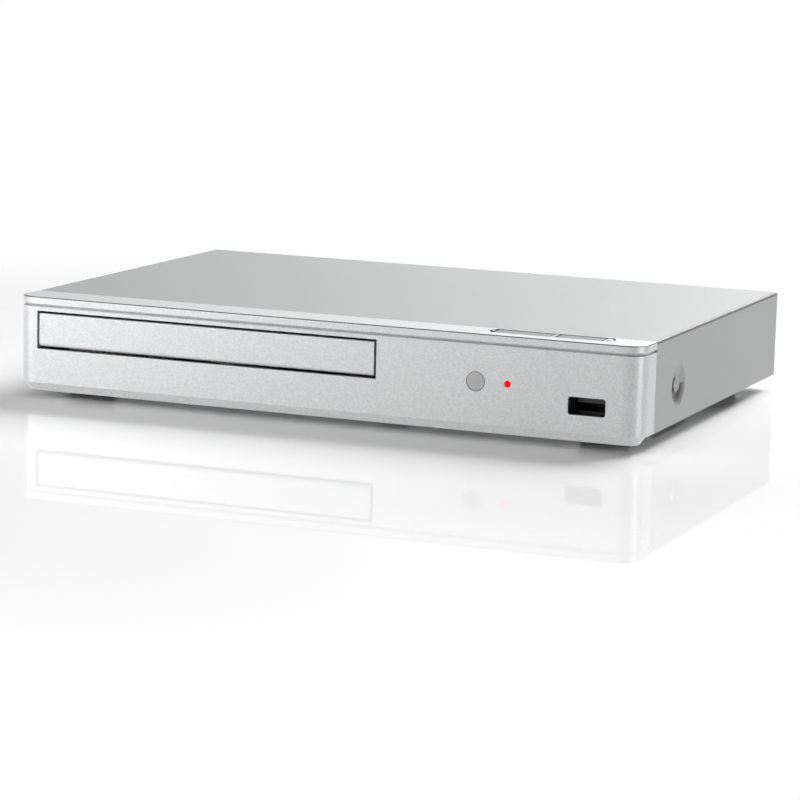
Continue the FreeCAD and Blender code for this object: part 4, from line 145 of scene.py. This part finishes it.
def close_group(tree, ends, colour, shift, bump, height, distance=0.0001):
    """Feeds the three outputs of a finish; the height raises the bump."""
    raised = add_node(tree, "ShaderNodeBump", Strength=bump, Distance=distance, Height=height).outputs[0]
    for (label, _), socket in zip(FINISH_OUTPUTS, (colour, shift, raised)):
        tree.links.new(socket, ends.inputs[label])
    print("group:", tree.name)


print("every finish puts out:", [label for label, _ in FINISH_OUTPUTS])

# %% [markdown]
# ## Finish 1: silver paint with flakes
# The front and the cover wear silver paint with fine aluminium flakes. Close up it is a sparkle of
# lighter and darker specks about a third of a millimetre wide. A noise would give soft clouds, so the
# specks are cells of a Voronoi pattern, each with a random value. A slow noise makes the coat a
# little uneven.

# %% Group: flakes
SLOW_NOISE_SCALE = 22.0

flakes, flakes_in, flakes_out = new_group(
    "silver_flakes",
    (("Base", COLOUR, (0.7, 0.7, 0.7, 1.0)), ("Speck Size", FLOAT, 0.0004), ("Contrast", FLOAT, 0.1),
     ("Unevenness", FLOAT, 0.02), ("Bump", FLOAT, 0.05)))
place = add_node(flakes, "ShaderNodeTexCoord").outputs["Object"]
scale = math_node(flakes, "DIVIDE", 1.0, flakes_in.outputs["Speck Size"])
cells = add_node(flakes, "ShaderNodeTexVoronoi", Vector=place, Scale=scale, Randomness=1.0)
speck = add_node(flakes, "ShaderNodeSeparateColor", Color=cells.outputs["Color"]).outputs[0]
slow = add_node(flakes, "ShaderNodeTexNoise", Vector=place, Scale=SLOW_NOISE_SCALE, Detail=3.0).outputs[0]
shift = math_node(flakes, "ADD", swing(flakes, speck, flakes_in.outputs["Contrast"]),
                  swing(flakes, slow, flakes_in.outputs["Unevenness"]))
close_group(flakes, flakes_out, shaded(flakes, flakes_in.outputs["Base"], shift), shift,
            flakes_in.outputs["Bump"], speck)

# %% [markdown]
# ## Finish 2: moulded grain
# Bare moulded plastic and rubber have a fine spark-eroded grain. A picture of a real grain would do,
# but its repeats show. A noise at two scales raises tiny hills for the bump and shades them a little,
# which keeps a dark part from looking flat.

# %% Group: grain
HILL_SHARE, PATCH_SHARE = 0.6, 0.4
PATCH_SCALE = 60.0
GRAIN_DEPTH = 0.0002

grain, grain_in, grain_out = new_group(
    "moulded_grain",
    (("Base", COLOUR, (0.1, 0.1, 0.1, 1.0)), ("Grain Size", FLOAT, 0.0005), ("Contrast", FLOAT, 0.2),
     ("Bump", FLOAT, 0.2)))
place = add_node(grain, "ShaderNodeTexCoord").outputs["Object"]
scale = math_node(grain, "DIVIDE", 1.0, grain_in.outputs["Grain Size"])
hills = add_node(grain, "ShaderNodeTexNoise", Vector=place, Scale=scale, Detail=2.0).outputs[0]
patches = add_node(grain, "ShaderNodeTexNoise", Vector=place, Scale=PATCH_SCALE, Detail=4.0).outputs[0]
both = math_node(grain, "ADD", math_node(grain, "MULTIPLY", hills, HILL_SHARE),
                 math_node(grain, "MULTIPLY", patches, PATCH_SHARE))
shift = swing(grain, both, grain_in.outputs["Contrast"])
close_group(grain, grain_out, shaded(grain, grain_in.outputs["Base"], shift), shift,
            grain_in.outputs["Bump"], hills, GRAIN_DEPTH)

# %% [markdown]
# ## Finish 3: drawn metal
# Sheet steel, rods and cans have fine lines that run one way, from the rollers or the die. A wave
# pattern would be too regular. A noise that is squeezed along one axis gives uneven lines, and each
# part's stretch chooses the axis.

# %% Group: drawn metal
LINE_SCALE = 1200.0

drawn, drawn_in, drawn_out = new_group(
    "drawn_metal",
    (("Base", COLOUR, (0.6, 0.6, 0.6, 1.0)), ("Stretch", VECTOR, (1.0, 1.0, 1.0)), ("Contrast", FLOAT, 0.15),
     ("Bump", FLOAT, 0.05)))
place = add_node(drawn, "ShaderNodeTexCoord").outputs["Object"]
squeezed = vector_math(drawn, "MULTIPLY", place, drawn_in.outputs["Stretch"])
lines = add_node(drawn, "ShaderNodeTexNoise", Vector=squeezed, Scale=LINE_SCALE, Detail=3.0).outputs[0]
shift = swing(drawn, lines, drawn_in.outputs["Contrast"])
close_group(drawn, drawn_out, shaded(drawn, drawn_in.outputs["Base"], shift), shift,
            drawn_in.outputs["Bump"], lines)

# %% [markdown]
# ## Finish 4: copper tracks under solder mask
# A circuit board is not one green. Its copper tracks show through the mask as lighter lines with
# square turns, and small pads sit between them. Real tracks could be drawn one by one, but the board
# hides under the cover, so a brick pattern imitates them and a coarse noise keeps them to some zones.

# %% Group: tracks
TRACK_SCALE, ZONE_SCALE, PAD_SCALE = 190.0, 55.0, 260.0
ZONE_LEVEL = 0.47
PAD_RADIUS = 0.2
PAD_SHINE = -0.1

tracks, tracks_in, tracks_out = new_group(
    "board_tracks",
    (("Base", COLOUR, (0.04, 0.2, 0.1, 1.0)), ("Track", COLOUR, (0.1, 0.35, 0.18, 1.0)),
     ("Pad", COLOUR, (0.6, 0.6, 0.55, 1.0)), ("Bump", FLOAT, 0.2)))
place = add_node(tracks, "ShaderNodeTexCoord").outputs["Object"]
bricks = add_node(tracks, "ShaderNodeTexBrick", Vector=place, Scale=TRACK_SCALE, Mortar_Size=0.06,
                  Mortar_Smooth=0.1, Brick_Width=1.7, Row_Height=0.31)
zones = add_node(tracks, "ShaderNodeTexNoise", Vector=place, Scale=ZONE_SCALE, Detail=1.0).outputs[0]
track_mask = math_node(tracks, "MULTIPLY", bricks.outputs["Fac"],
                       math_node(tracks, "GREATER_THAN", zones, ZONE_LEVEL))
dots = add_node(tracks, "ShaderNodeTexVoronoi", Vector=place, Scale=PAD_SCALE, Randomness=0.35)
pad_mask = math_node(tracks, "MULTIPLY", math_node(tracks, "LESS_THAN", dots.outputs["Distance"], PAD_RADIUS),
                     math_node(tracks, "LESS_THAN", zones, ZONE_LEVEL))
under = mix_colour(tracks, track_mask, tracks_in.outputs["Base"], tracks_in.outputs["Track"])
close_group(tracks, tracks_out, mix_colour(tracks, pad_mask, under, tracks_in.outputs["Pad"]),
            math_node(tracks, "MULTIPLY", pad_mask, PAD_SHINE), tracks_in.outputs["Bump"],
            math_node(tracks, "ADD", track_mask, pad_mask))

# %% [markdown]
# ## Where shade and dark reflections are painted
# The walls inside a narrow slot lie in deep shade, and here they get a painted shade of near black.
# That is why the buttons have dark lines around them. Some rounded edges and hollows mirror a dark
# part of the room, and they get a painted dark reflection. Such places could be painted by hand on
# the mesh. Here a box in the part's own coordinates marks each of them, because a box has plain sizes
# and moves with the part. The mask is zero outside and rises to one over a short way inside, which is
# the softness of the box's edge.

# %% Group: inside a box
SHARP = 0.00001

inside, inside_in, inside_out = new_group(
    "inside_box",
    (("Low", VECTOR, (0.0, 0.0, 0.0)), ("High", VECTOR, (0.0, 0.0, 0.0)), ("Softness", FLOAT, SHARP)),
    (("Mask", FLOAT),))
place = add_node(inside, "ShaderNodeTexCoord").outputs["Object"]
past_low = vector_math(inside, "SUBTRACT", place, inside_in.outputs["Low"])
short_of_high = vector_math(inside, "SUBTRACT", inside_in.outputs["High"], place)
to_walls = add_node(inside, "ShaderNodeSeparateXYZ",
                    Vector=vector_math(inside, "MINIMUM", past_low, short_of_high))
least = math_node(inside, "MINIMUM", to_walls.outputs["X"],
                  math_node(inside, "MINIMUM", to_walls.outputs["Y"], to_walls.outputs["Z"]))
rise = math_node(inside, "DIVIDE", least, inside_in.outputs["Softness"])
inside.links.new(math_node(inside, "MINIMUM", math_node(inside, "MAXIMUM", rise, 0.0), 1.0),
                 inside_out.inputs["Mask"])
print("group:", inside.name)

# %% [markdown]
# ## From a finish to a material
# Each material is one Principled shader that takes its colour, roughness and normal from one of the
# groups. What is the same all over the surface, such as the metallic value or the coat, is set on the
# shader itself, where it stays easy to find.

# %% Material maker
# Painted shade: the near black deep inside slots, mouths and sockets.
PAINTED_GAP_SHADE = (0.030, 0.030, 0.031)
# Painted dark reflection: the dark tone on rounded edges and in dishes that mirror a dark part of the room.
PAINTED_DARK_REFLECTION = (0.10, 0.10, 0.101)
ROUGHNESS_WOBBLE = 0.5
materials = {}


def box_mask(tree, boxes):
    """One inside any of the boxes, each given by its low corner, its high corner and its softness."""
    mask = None
    for corners_and_softness in boxes:
        box = tree.nodes.new("ShaderNodeGroup")
        box.node_tree = inside
        for label, given in zip(("Low", "High", "Softness"), corners_and_softness):
            box.inputs[label].default_value = given
        mask = box.outputs[0] if mask is None else math_node(tree, "MAXIMUM", mask, box.outputs[0])
    return mask


def finish(name, group, roughness, metallic=0.0, shader=None, painted_reflection=(), painted_shade=(), **inputs):
    """Makes a material from a finish group; the first list of boxes gets a painted dark reflection, the second a
    painted shade without metal.
    """
    made = bpy.data.materials.new(name)
    made.use_nodes = True
    tree = made.node_tree
    tree.nodes.clear()
    pattern = tree.nodes.new("ShaderNodeGroup")
    pattern.node_tree = group
    for key, given in inputs.items():
        socket = pattern.inputs[key.replace("_", " ")]
        socket.default_value = (*given, 1.0) if socket.type == "RGBA" else given
    surface = add_node(tree, "ShaderNodeBsdfPrincipled", Metallic=metallic, Normal=pattern.outputs["Normal"])
    colour = pattern.outputs["Colour"]
    # A painted dark reflection inside its boxes.
    if painted_reflection:
        colour = mix_colour(tree, box_mask(tree, painted_reflection), colour, PAINTED_DARK_REFLECTION)
    # A painted shade inside its boxes, where the metal is taken away.
    if painted_shade:
        mask = box_mask(tree, painted_shade)
        colour = mix_colour(tree, mask, colour, PAINTED_GAP_SHADE)
        unshaded = math_node(tree, "SUBTRACT", 1.0, mask)
        feed(tree, surface.inputs["Metallic"], math_node(tree, "MULTIPLY", unshaded, metallic))
    feed(tree, surface.inputs["Base Color"], colour)
    wobble = math_node(tree, "MULTIPLY", pattern.outputs["Roughness Shift"], ROUGHNESS_WOBBLE)
    feed(tree, surface.inputs["Roughness"], math_node(tree, "ADD", wobble, roughness))
    for key, given in (shader or {}).items():
        surface.inputs[key].default_value = given
    out = tree.nodes.new("ShaderNodeOutputMaterial")
    tree.links.new(surface.outputs[0], out.inputs[0])
    materials[name] = made


# The first tone printed is the painted shade, the second the painted dark reflection.
print("bare plastic:", PAINTED_GAP_SHADE, "thin paint:", PAINTED_DARK_REFLECTION)

# %% [markdown]
# ## The boxes
# The slot of the buttons has three boxes that differ only in their top, because the panel, the frame
# and the caps end at slightly different heights. Their tops keep the silver. The mouth and the socket
# behind it get a painted shade inside. The ledge's front edge and the folds of the cover get a painted
# dark reflection, and so does the lower half of each side dish, a dark crescent with a soft edge.


# %% Boxes
def slot_up_to(height):
    """The slot of the buttons, up to a height."""
    return (0.0619, -0.0810, 0.0200), (0.1091, -0.0725, height), SHARP


def on_the_left(box):
    """The same box on the player's left side."""
    low, high, softness = box
    return (-high[0], *low[1:]), (-low[0], *high[1:]), softness


# Painted shade inside the slot, the mouth and the socket.
PANEL_SLOT = slot_up_to(0.03846)
FRAME_SIDES = slot_up_to(0.03834)
BUTTON_SIDES = slot_up_to(0.03836)
MOUTH_WALLS = ((0.0956, -0.0868, 0.0126), (0.1096, -0.0500, 0.0191), SHARP)
SOCKET_INSIDE = ((0.0900, -0.0900, 0.0100), (0.1150, -0.0550, 0.0220), SHARP)
# Painted dark reflections on the ledge's front edge, the cover's folds and the lower half of each dish.
LEDGE_EDGE = ((-0.1240, -0.0880, 0.0381), (0.1240, -0.0690, 0.03846), SHARP)
RIGHT_FOLD = ((0.1214, -0.0800, 0.0374), (0.1230, 0.0900, 0.0392), SHARP)
RIGHT_DISH = ((0.1190, -0.0540, 0.0090), (0.1224, -0.0340, 0.0198), 0.0008)
COVER_DARK_REFLECTIONS = (RIGHT_FOLD, on_the_left(RIGHT_FOLD), RIGHT_DISH, on_the_left(RIGHT_DISH))
print("left fold:", on_the_left(RIGHT_FOLD))

# %% [markdown]
# ## Silver paints
# Silver paint is only partly a mirror: metal flakes lie in a clear binder. A fully metallic surface
# would be too dark and too sharp. A metallic value of about one half, a broad roughness and a thin
# coat give its soft gradients. The cover is greyer than the front, because it is another part from
# another paint run, and the caps and their frame are a little darker too.

# %% Silver paints
PAINT = {"Coat Weight": 0.15, "Coat Roughness": 0.25}
FRONT_SILVER = (0.615, 0.618, 0.625)
SPECKS = {"Speck_Size": 0.00042, "Unevenness": 0.02, "Bump": 0.08}

# The front, the frame and the caps get a painted shade down in the slot and the mouth; the front also gets a
# painted dark reflection on its ledge edge, and the cover one on its folds and in its dishes.
finish("silver_plastic", flakes, roughness=0.40, metallic=0.40, shader=PAINT, Base=FRONT_SILVER,
       Contrast=0.16, painted_reflection=(LEDGE_EDGE,), painted_shade=(PANEL_SLOT, MOUTH_WALLS), **SPECKS)
finish("silver_frame", flakes, roughness=0.40, metallic=0.40, shader=PAINT, Base=(0.46, 0.463, 0.468),
       Contrast=0.14, painted_shade=(FRAME_SIDES,), **SPECKS)
finish("silver_door", flakes, roughness=0.40, metallic=0.40, shader=PAINT, Base=FRONT_SILVER,
       Contrast=0.16, **SPECKS)
finish("silver_cover", flakes, roughness=0.44, metallic=0.40, shader=PAINT, Base=(0.358, 0.360, 0.364),
       Speck_Size=0.00045, Contrast=0.12, Unevenness=0.03, Bump=0.06, painted_reflection=COVER_DARK_REFLECTIONS)
finish("silver_buttons", flakes, roughness=0.45, metallic=0.25, shader=PAINT, Base=(0.19, 0.192, 0.195),
       Contrast=0.14, painted_shade=(BUTTON_SIDES,), **SPECKS)
print("silver paints:", len(materials))

# %% [markdown]
# ## Metals
# The chassis is zinc-plated sheet, the rods are ground steel, the motors are drawn cans and the pulley
# on the tray's motor is brass. A group for each would repeat the same nodes. They differ only in
# colour, in roughness and in the way their lines run, so one group serves them all. The shell of the
# front socket gets a painted shade inside, where no light gets in.

# %% Metals
finish("zinc_steel", drawn, roughness=0.38, metallic=0.95, Base=(0.55, 0.56, 0.56), Stretch=(0.06, 1.0, 1.0),
       Contrast=0.25)
finish("screw_steel", drawn, roughness=0.35, metallic=1.0, Base=(0.50, 0.50, 0.49))
finish("bright_screw", drawn, roughness=0.5, metallic=0.9, Base=(0.36, 0.357, 0.35))
finish("bare_aluminium", drawn, roughness=0.35, metallic=0.95, Base=(0.70, 0.71, 0.72), Stretch=(1.0, 0.05, 1.0))
finish("steel_rod", drawn, roughness=0.18, metallic=1.0, Base=(0.70, 0.70, 0.71), Stretch=(1.0, 0.1, 1.0))
finish("steel_sheet", drawn, roughness=0.35, metallic=0.95, Base=(0.62, 0.62, 0.61), Stretch=(0.06, 1.0, 1.0))
finish("motor_steel", drawn, roughness=0.32, metallic=0.95, Base=(0.58, 0.58, 0.57), Stretch=(1.0, 1.0, 0.1))
finish("brass_part", drawn, roughness=0.28, metallic=1.0, Base=(0.76, 0.55, 0.22), Stretch=(1.0, 1.0, 4.0))
finish("magnet", drawn, roughness=0.3, metallic=0.9, Base=(0.34, 0.34, 0.35))
# The socket's shell gets a painted shade inside.
finish("socket_metal", drawn, roughness=0.3, metallic=0.95, Base=(0.66, 0.66, 0.65), Stretch=(0.1, 1.0, 1.0),
       painted_shade=(SOCKET_INSIDE,))
print("with the metals:", len(materials))

# %% [markdown]
# ## Plastics and rubber
# Plain mouldings take the grain group. Its size and its bump tell the coarse grain of a foot from the
# smooth face of a window. The window and the tongue of the socket have hardly any grain.

# %% Plastics and rubber
finish("rear_black", grain, roughness=0.5, Base=(0.022, 0.022, 0.024), Grain_Size=0.0005, Bump=0.25)
finish("black_rubber", grain, roughness=0.75, Base=(0.018, 0.018, 0.018), Grain_Size=0.0004, Bump=0.3)
finish("black_plastic", grain, roughness=0.5, Base=(0.028, 0.028, 0.03), Grain_Size=0.0006)
finish("grey_plastic", grain, roughness=0.5, Base=(0.085, 0.087, 0.09), Grain_Size=0.0006)
finish("ivory_plastic", grain, roughness=0.4, Base=(0.70, 0.67, 0.58), Grain_Size=0.0008, Contrast=0.06, Bump=0.05)
finish("smoke_window", grain, roughness=0.30, Base=(0.50, 0.50, 0.51), Grain_Size=0.003, Contrast=0.05, Bump=0.0)
finish("can_sleeve", grain, roughness=0.35, Base=(0.025, 0.035, 0.08), Grain_Size=0.002, Bump=0.05)
finish("socket_white", grain, roughness=0.35, Base=(0.035, 0.035, 0.037), Contrast=0.05, Bump=0.05)
finish("orange_socket", grain, roughness=0.45, Base=(0.60, 0.12, 0.015), Contrast=0.08, Bump=0.1)
finish("ribbon", grain, roughness=0.4, Base=(0.72, 0.72, 0.69), Grain_Size=0.002, Contrast=0.06)
finish("amber_tape", grain, roughness=0.3, Base=(0.65, 0.36, 0.03), Grain_Size=0.003, Contrast=0.1)
print("with the plastics:", len(materials))

# %% [markdown]
# ## Boards, lamp and lens
# The boards take the tracks. The power lamp is on in the photo, an even red disc without a highlight.
# A lamp behind glass would need many samples, so the disc glows by itself and mirrors little. The
# pick-up's lens is real glass with a bluish coat.

# %% Boards, lamp and lens
RED_GLOW = {"Emission Color": (1.0, 0.0, 0.0, 1.0), "Emission Strength": 0.8, "Specular IOR Level": 0.1}
CLEAR = {"Transmission Weight": 0.85, "IOR": 1.5}

finish("board_green", tracks, roughness=0.35, Base=(0.02, 0.13, 0.05), Track=(0.035, 0.22, 0.09),
       Pad=(0.55, 0.55, 0.5))
# Where the tan board lies inside the socket, it gets a painted shade of near black.
finish("board_tan", tracks, roughness=0.5, Base=(0.42, 0.28, 0.11), Track=(0.33, 0.2, 0.07), Pad=(0.6, 0.6, 0.56),
       painted_shade=(SOCKET_INSIDE,))
finish("chip_black", grain, roughness=0.55, Base=(0.03, 0.03, 0.032), Grain_Size=0.0003)
finish("red_lens", grain, roughness=0.25, shader=RED_GLOW, Base=(0.30, 0.0, 0.0), Grain_Size=0.002,
       Contrast=0.05, Bump=0.0)
finish("lens_glass", grain, roughness=0.08, shader=CLEAR, Base=(0.45, 0.55, 0.85), Contrast=0.02, Bump=0.0)
print("materials:", len(materials))

# %% [markdown]
# ## Each piece gets its material
# The record of the part names a material slot for every node, so a loop dresses them all. The frame of
# the buttons shares the front's slot but is a moulding of its own, and it alone gets another finish.

# %% Dress the nodes
SPECIAL_FINISH = {"button_frame": "silver_frame"}
for name, item in nodes.items():
    for slot in item.material_slots:
        slot.material = materials[SPECIAL_FINISH.get(name, slot_of[name])]
print("dressed:", len(nodes), "nodes with", len(set(slot_of.values())), "slots")

# %% [markdown]
# ## Rays of light
# A studio picture hides a good deal: the backdrop is lit by lamps of its own, and white cards stand
# where only the paint mirrors them. The Light Path node does the same, because it tells which kind of
# ray asks for a colour. Rays from the camera may see white, and rays from a mirror may see cards,
# while the light on the player stays as it is.


# %% Helpers for rays
def mirror_rays(tree, rays):
    """One for rays that left a mirror or glass and touched nothing matt before."""
    sharp = math_node(tree, "MAXIMUM", rays.outputs["Is Glossy Ray"], rays.outputs["Is Transmission Ray"])
    return math_node(tree, "MULTIPLY", sharp, math_node(tree, "LESS_THAN", rays.outputs["Diffuse Depth"], 0.5))


def mix_shader(tree, factor, first, second):
    """A mix of two shaders."""
    made = tree.nodes.new("ShaderNodeMixShader")
    for socket, given in zip(made.inputs, (factor, first, second)):
        feed(tree, socket, given)
    return made.outputs[0]


print("helpers:", mirror_rays.__name__, mix_shader.__name__)

# %% [markdown]
# ## The floor
# The photo has a white ground with a soft dark shadow under the chin and a faint mirror image of the
# player. A shadow catcher would give only the shadow, and a white sheet with a gloss on it gives both.
# It is a plane that is much larger than the player, so that no edge shows.

# %% Floor sheet
FLOOR_SIZE = 14.0

bpy.ops.object.select_all(action="DESELECT")
bpy.ops.mesh.primitive_plane_add(size=FLOOR_SIZE, location=(0.0, 0.0, 0.0))
floor = bpy.context.object
floor.name = "floor"
print("floor:", floor.dimensions[:])

# %% [markdown]
# ## The sheet's paper and gloss
# Past the shadow the sheet turns to plain white, and past the mirror image the gloss ends, as on a
# backdrop that is lit apart. Mirror rays meet white paper everywhere, so the paint shows a white
# floor, and that white puts no light on the player. A camera under the sheet looks through it at the
# feet.

# %% Floor material
WHITE = (1.0, 1.0, 1.0, 1.0)
SHEET_GREY = (0.87, 0.87, 0.87, 1.0)
MIRROR_SHARE = 0.17
MIRROR_BLUR = 0.03
SHADOW_ENDS = (0.17, 0.29)
MIRROR_ENDS = (0.30, 0.46)

floor_material = bpy.data.materials.new("floor_white")
floor_material.use_nodes = True
tree = floor_material.node_tree
tree.nodes.clear()
matt = add_node(tree, "ShaderNodeBsdfDiffuse", Color=SHEET_GREY)
mirror = add_node(tree, "ShaderNodeBsdfGlossy", Color=WHITE, Roughness=MIRROR_BLUR)
white = add_node(tree, "ShaderNodeEmission", Color=WHITE, Strength=1.0)
see_through = add_node(tree, "ShaderNodeBsdfTransparent")
distance = add_node(tree, "ShaderNodeVectorMath", operation="LENGTH")
feed(tree, distance.inputs[0], add_node(tree, "ShaderNodeTexCoord").outputs["Object"])
rays = tree.nodes.new("ShaderNodeLightPath")
mirror_ray = mirror_rays(tree, rays)


def white_share(start, end):
    """Rises with the distance from the middle for the camera, and is one for mirror rays."""
    rise = add_node(tree, "ShaderNodeMapRange", interpolation_type="SMOOTHSTEP", From_Min=start, From_Max=end,
                    Value=distance.outputs["Value"])
    shown = math_node(tree, "MULTIPLY", rise.outputs[0], rays.outputs["Is Camera Ray"])
    return math_node(tree, "MAXIMUM", shown, mirror_ray)


paper = mix_shader(tree, white_share(*SHADOW_ENDS), matt.outputs[0], white.outputs[0])
glossy_sheet = mix_shader(tree, MIRROR_SHARE, paper, mirror.outputs[0])
sheet = mix_shader(tree, white_share(*MIRROR_ENDS), glossy_sheet, white.outputs[0])
beneath = math_node(tree, "MULTIPLY", add_node(tree, "ShaderNodeNewGeometry").outputs["Backfacing"],
                    rays.outputs["Is Camera Ray"])
out = tree.nodes.new("ShaderNodeOutputMaterial")
tree.links.new(mix_shader(tree, beneath, sheet, see_through.outputs[0]), out.inputs[0])
floor.data.materials.append(floor_material)
print("shadow ends at", SHADOW_ENDS, "and the mirror image at", MIRROR_ENDS)

# %% [markdown]
# ## The lamps
# Two soft lamps stand close by at the left front, so their light falls off along the front as it does
# in the photo. They stand low, so the flat top gets little of it. A large lamp high behind lights the
# top, most at its right rear corner. A wide one overhead fills the rest, and a small low one puts the
# streak on the rounded corner. One sun would be simpler, but its shadows are hard and it can't fall
# off. The powers come from a fit: each lamp was rendered alone, and their sum was matched to the photo.

# %% Lamps
AIM = (0.0, 0.0, 0.02)
LAMPS = {"left_lamp": ((-0.42, -0.42, 0.15), (0.30, 0.30), 1.48),
         "front_lamp": ((-0.25, -0.60, 0.22), (0.35, 0.35), 0.80),
         "corner_lamp": ((0.671, -0.126, 0.06), (0.17, 0.11), 0.65),
         "rear_lamp": ((0.30, 0.90, 0.90), (0.80, 0.80), 23.5),
         "top_lamp": ((0.0, -0.1, 1.4), (1.20, 1.20), 4.7)}

for name, (place, size, power) in LAMPS.items():
    data = bpy.data.lights.new(name, "AREA")
    data.shape = "RECTANGLE"
    data.size, data.size_y = size
    data.energy = power
    lamp = bpy.data.objects.new(name, data)
    bpy.context.scene.collection.objects.link(lamp)
    away = Vector(place) - Vector(AIM)
    lamp.matrix_world = Matrix.Translation(Vector(place)) @ away.to_track_quat("Z", "Y").to_matrix().to_4x4()
    lamp.visible_camera = False
print("lamps:", list(LAMPS))

# %% [markdown]
# ## The room that the paint mirrors
# Silver paint is half a mirror, so the walls of the studio matter as much as its lamps. They could be
# large cards around the player, but colours in the world are simpler and throw no shadow. Only mirror
# rays see them, and they put no light on anything. Most walls are a mid grey. Behind the player and
# at its right stand white ones, and the ledge and the rounded corner get their bright streaks there.
# Each wall is a ramp of greys over the direction, one for low rays and one for high rays.

# %% Walls
WALL_GREY = 0.30
LOW_WALLS = ((-33, 0.2), (-21, 1.0), (8, 1.0), (36, WALL_GREY), (60, WALL_GREY), (100, 1.0),
             (140, WALL_GREY))
HIGH_WALLS = ((-100, WALL_GREY), (-60, 0.8), (60, 0.8), (100, WALL_GREY))
WALL_EDGE = (0.25, 0.60)

world = bpy.data.worlds.new("studio")
bpy.context.scene.world = world
world.use_nodes = True
tree = world.node_tree
tree.nodes.clear()
direction = add_node(tree, "ShaderNodeTexCoord").outputs["Generated"]
along = add_node(tree, "ShaderNodeSeparateXYZ", Vector=direction)
angle = math_node(tree, "ARCTAN2", along.outputs["X"], along.outputs["Y"])
turn = math_node(tree, "ADD", math_node(tree, "MULTIPLY", angle, 0.5 / math.pi), 0.5)


def wall_greys(stops):
    """Greys around the player, from pairs of a direction in degrees, 0 being the rear, and a grey."""
    made = add_node(tree, "ShaderNodeValToRGB", Fac=turn)
    steps = made.color_ramp.elements
    for step in steps:
        step.color = (WALL_GREY, WALL_GREY, WALL_GREY, 1.0)
    for degrees, grey in stops:
        steps.new(degrees / 360.0 + 0.5).color = (grey, grey, grey, 1.0)
    return made.outputs[0]


height = add_node(tree, "ShaderNodeMapRange", interpolation_type="SMOOTHSTEP", Value=along.outputs["Z"],
                  From_Min=WALL_EDGE[0], From_Max=WALL_EDGE[1])
walls = mix_colour(tree, height.outputs[0], wall_greys(LOW_WALLS), wall_greys(HIGH_WALLS))
print("walls:", len(LOW_WALLS), "low,", len(HIGH_WALLS), "high")

# %% [markdown]
# ## Who sees what of the room
# The camera sees plain white, mirror rays see the walls, and all other rays find a nearly dark room,
# so the shadows keep their depth.

# %% World
ROOM_LIGHT = 0.01

mirrored = add_node(tree, "ShaderNodeBackground", Color=walls, Strength=1.0)
room = add_node(tree, "ShaderNodeBackground", Color=WHITE, Strength=ROOM_LIGHT)
backdrop = add_node(tree, "ShaderNodeBackground", Color=WHITE, Strength=1.0)
rays = tree.nodes.new("ShaderNodeLightPath")
unseen = mix_shader(tree, mirror_rays(tree, rays), room.outputs[0], mirrored.outputs[0])
out = tree.nodes.new("ShaderNodeOutputWorld")
tree.links.new(mix_shader(tree, rays.outputs["Is Camera Ray"], unseen, backdrop.outputs[0]), out.inputs[0])
print("room light:", ROOM_LIGHT)
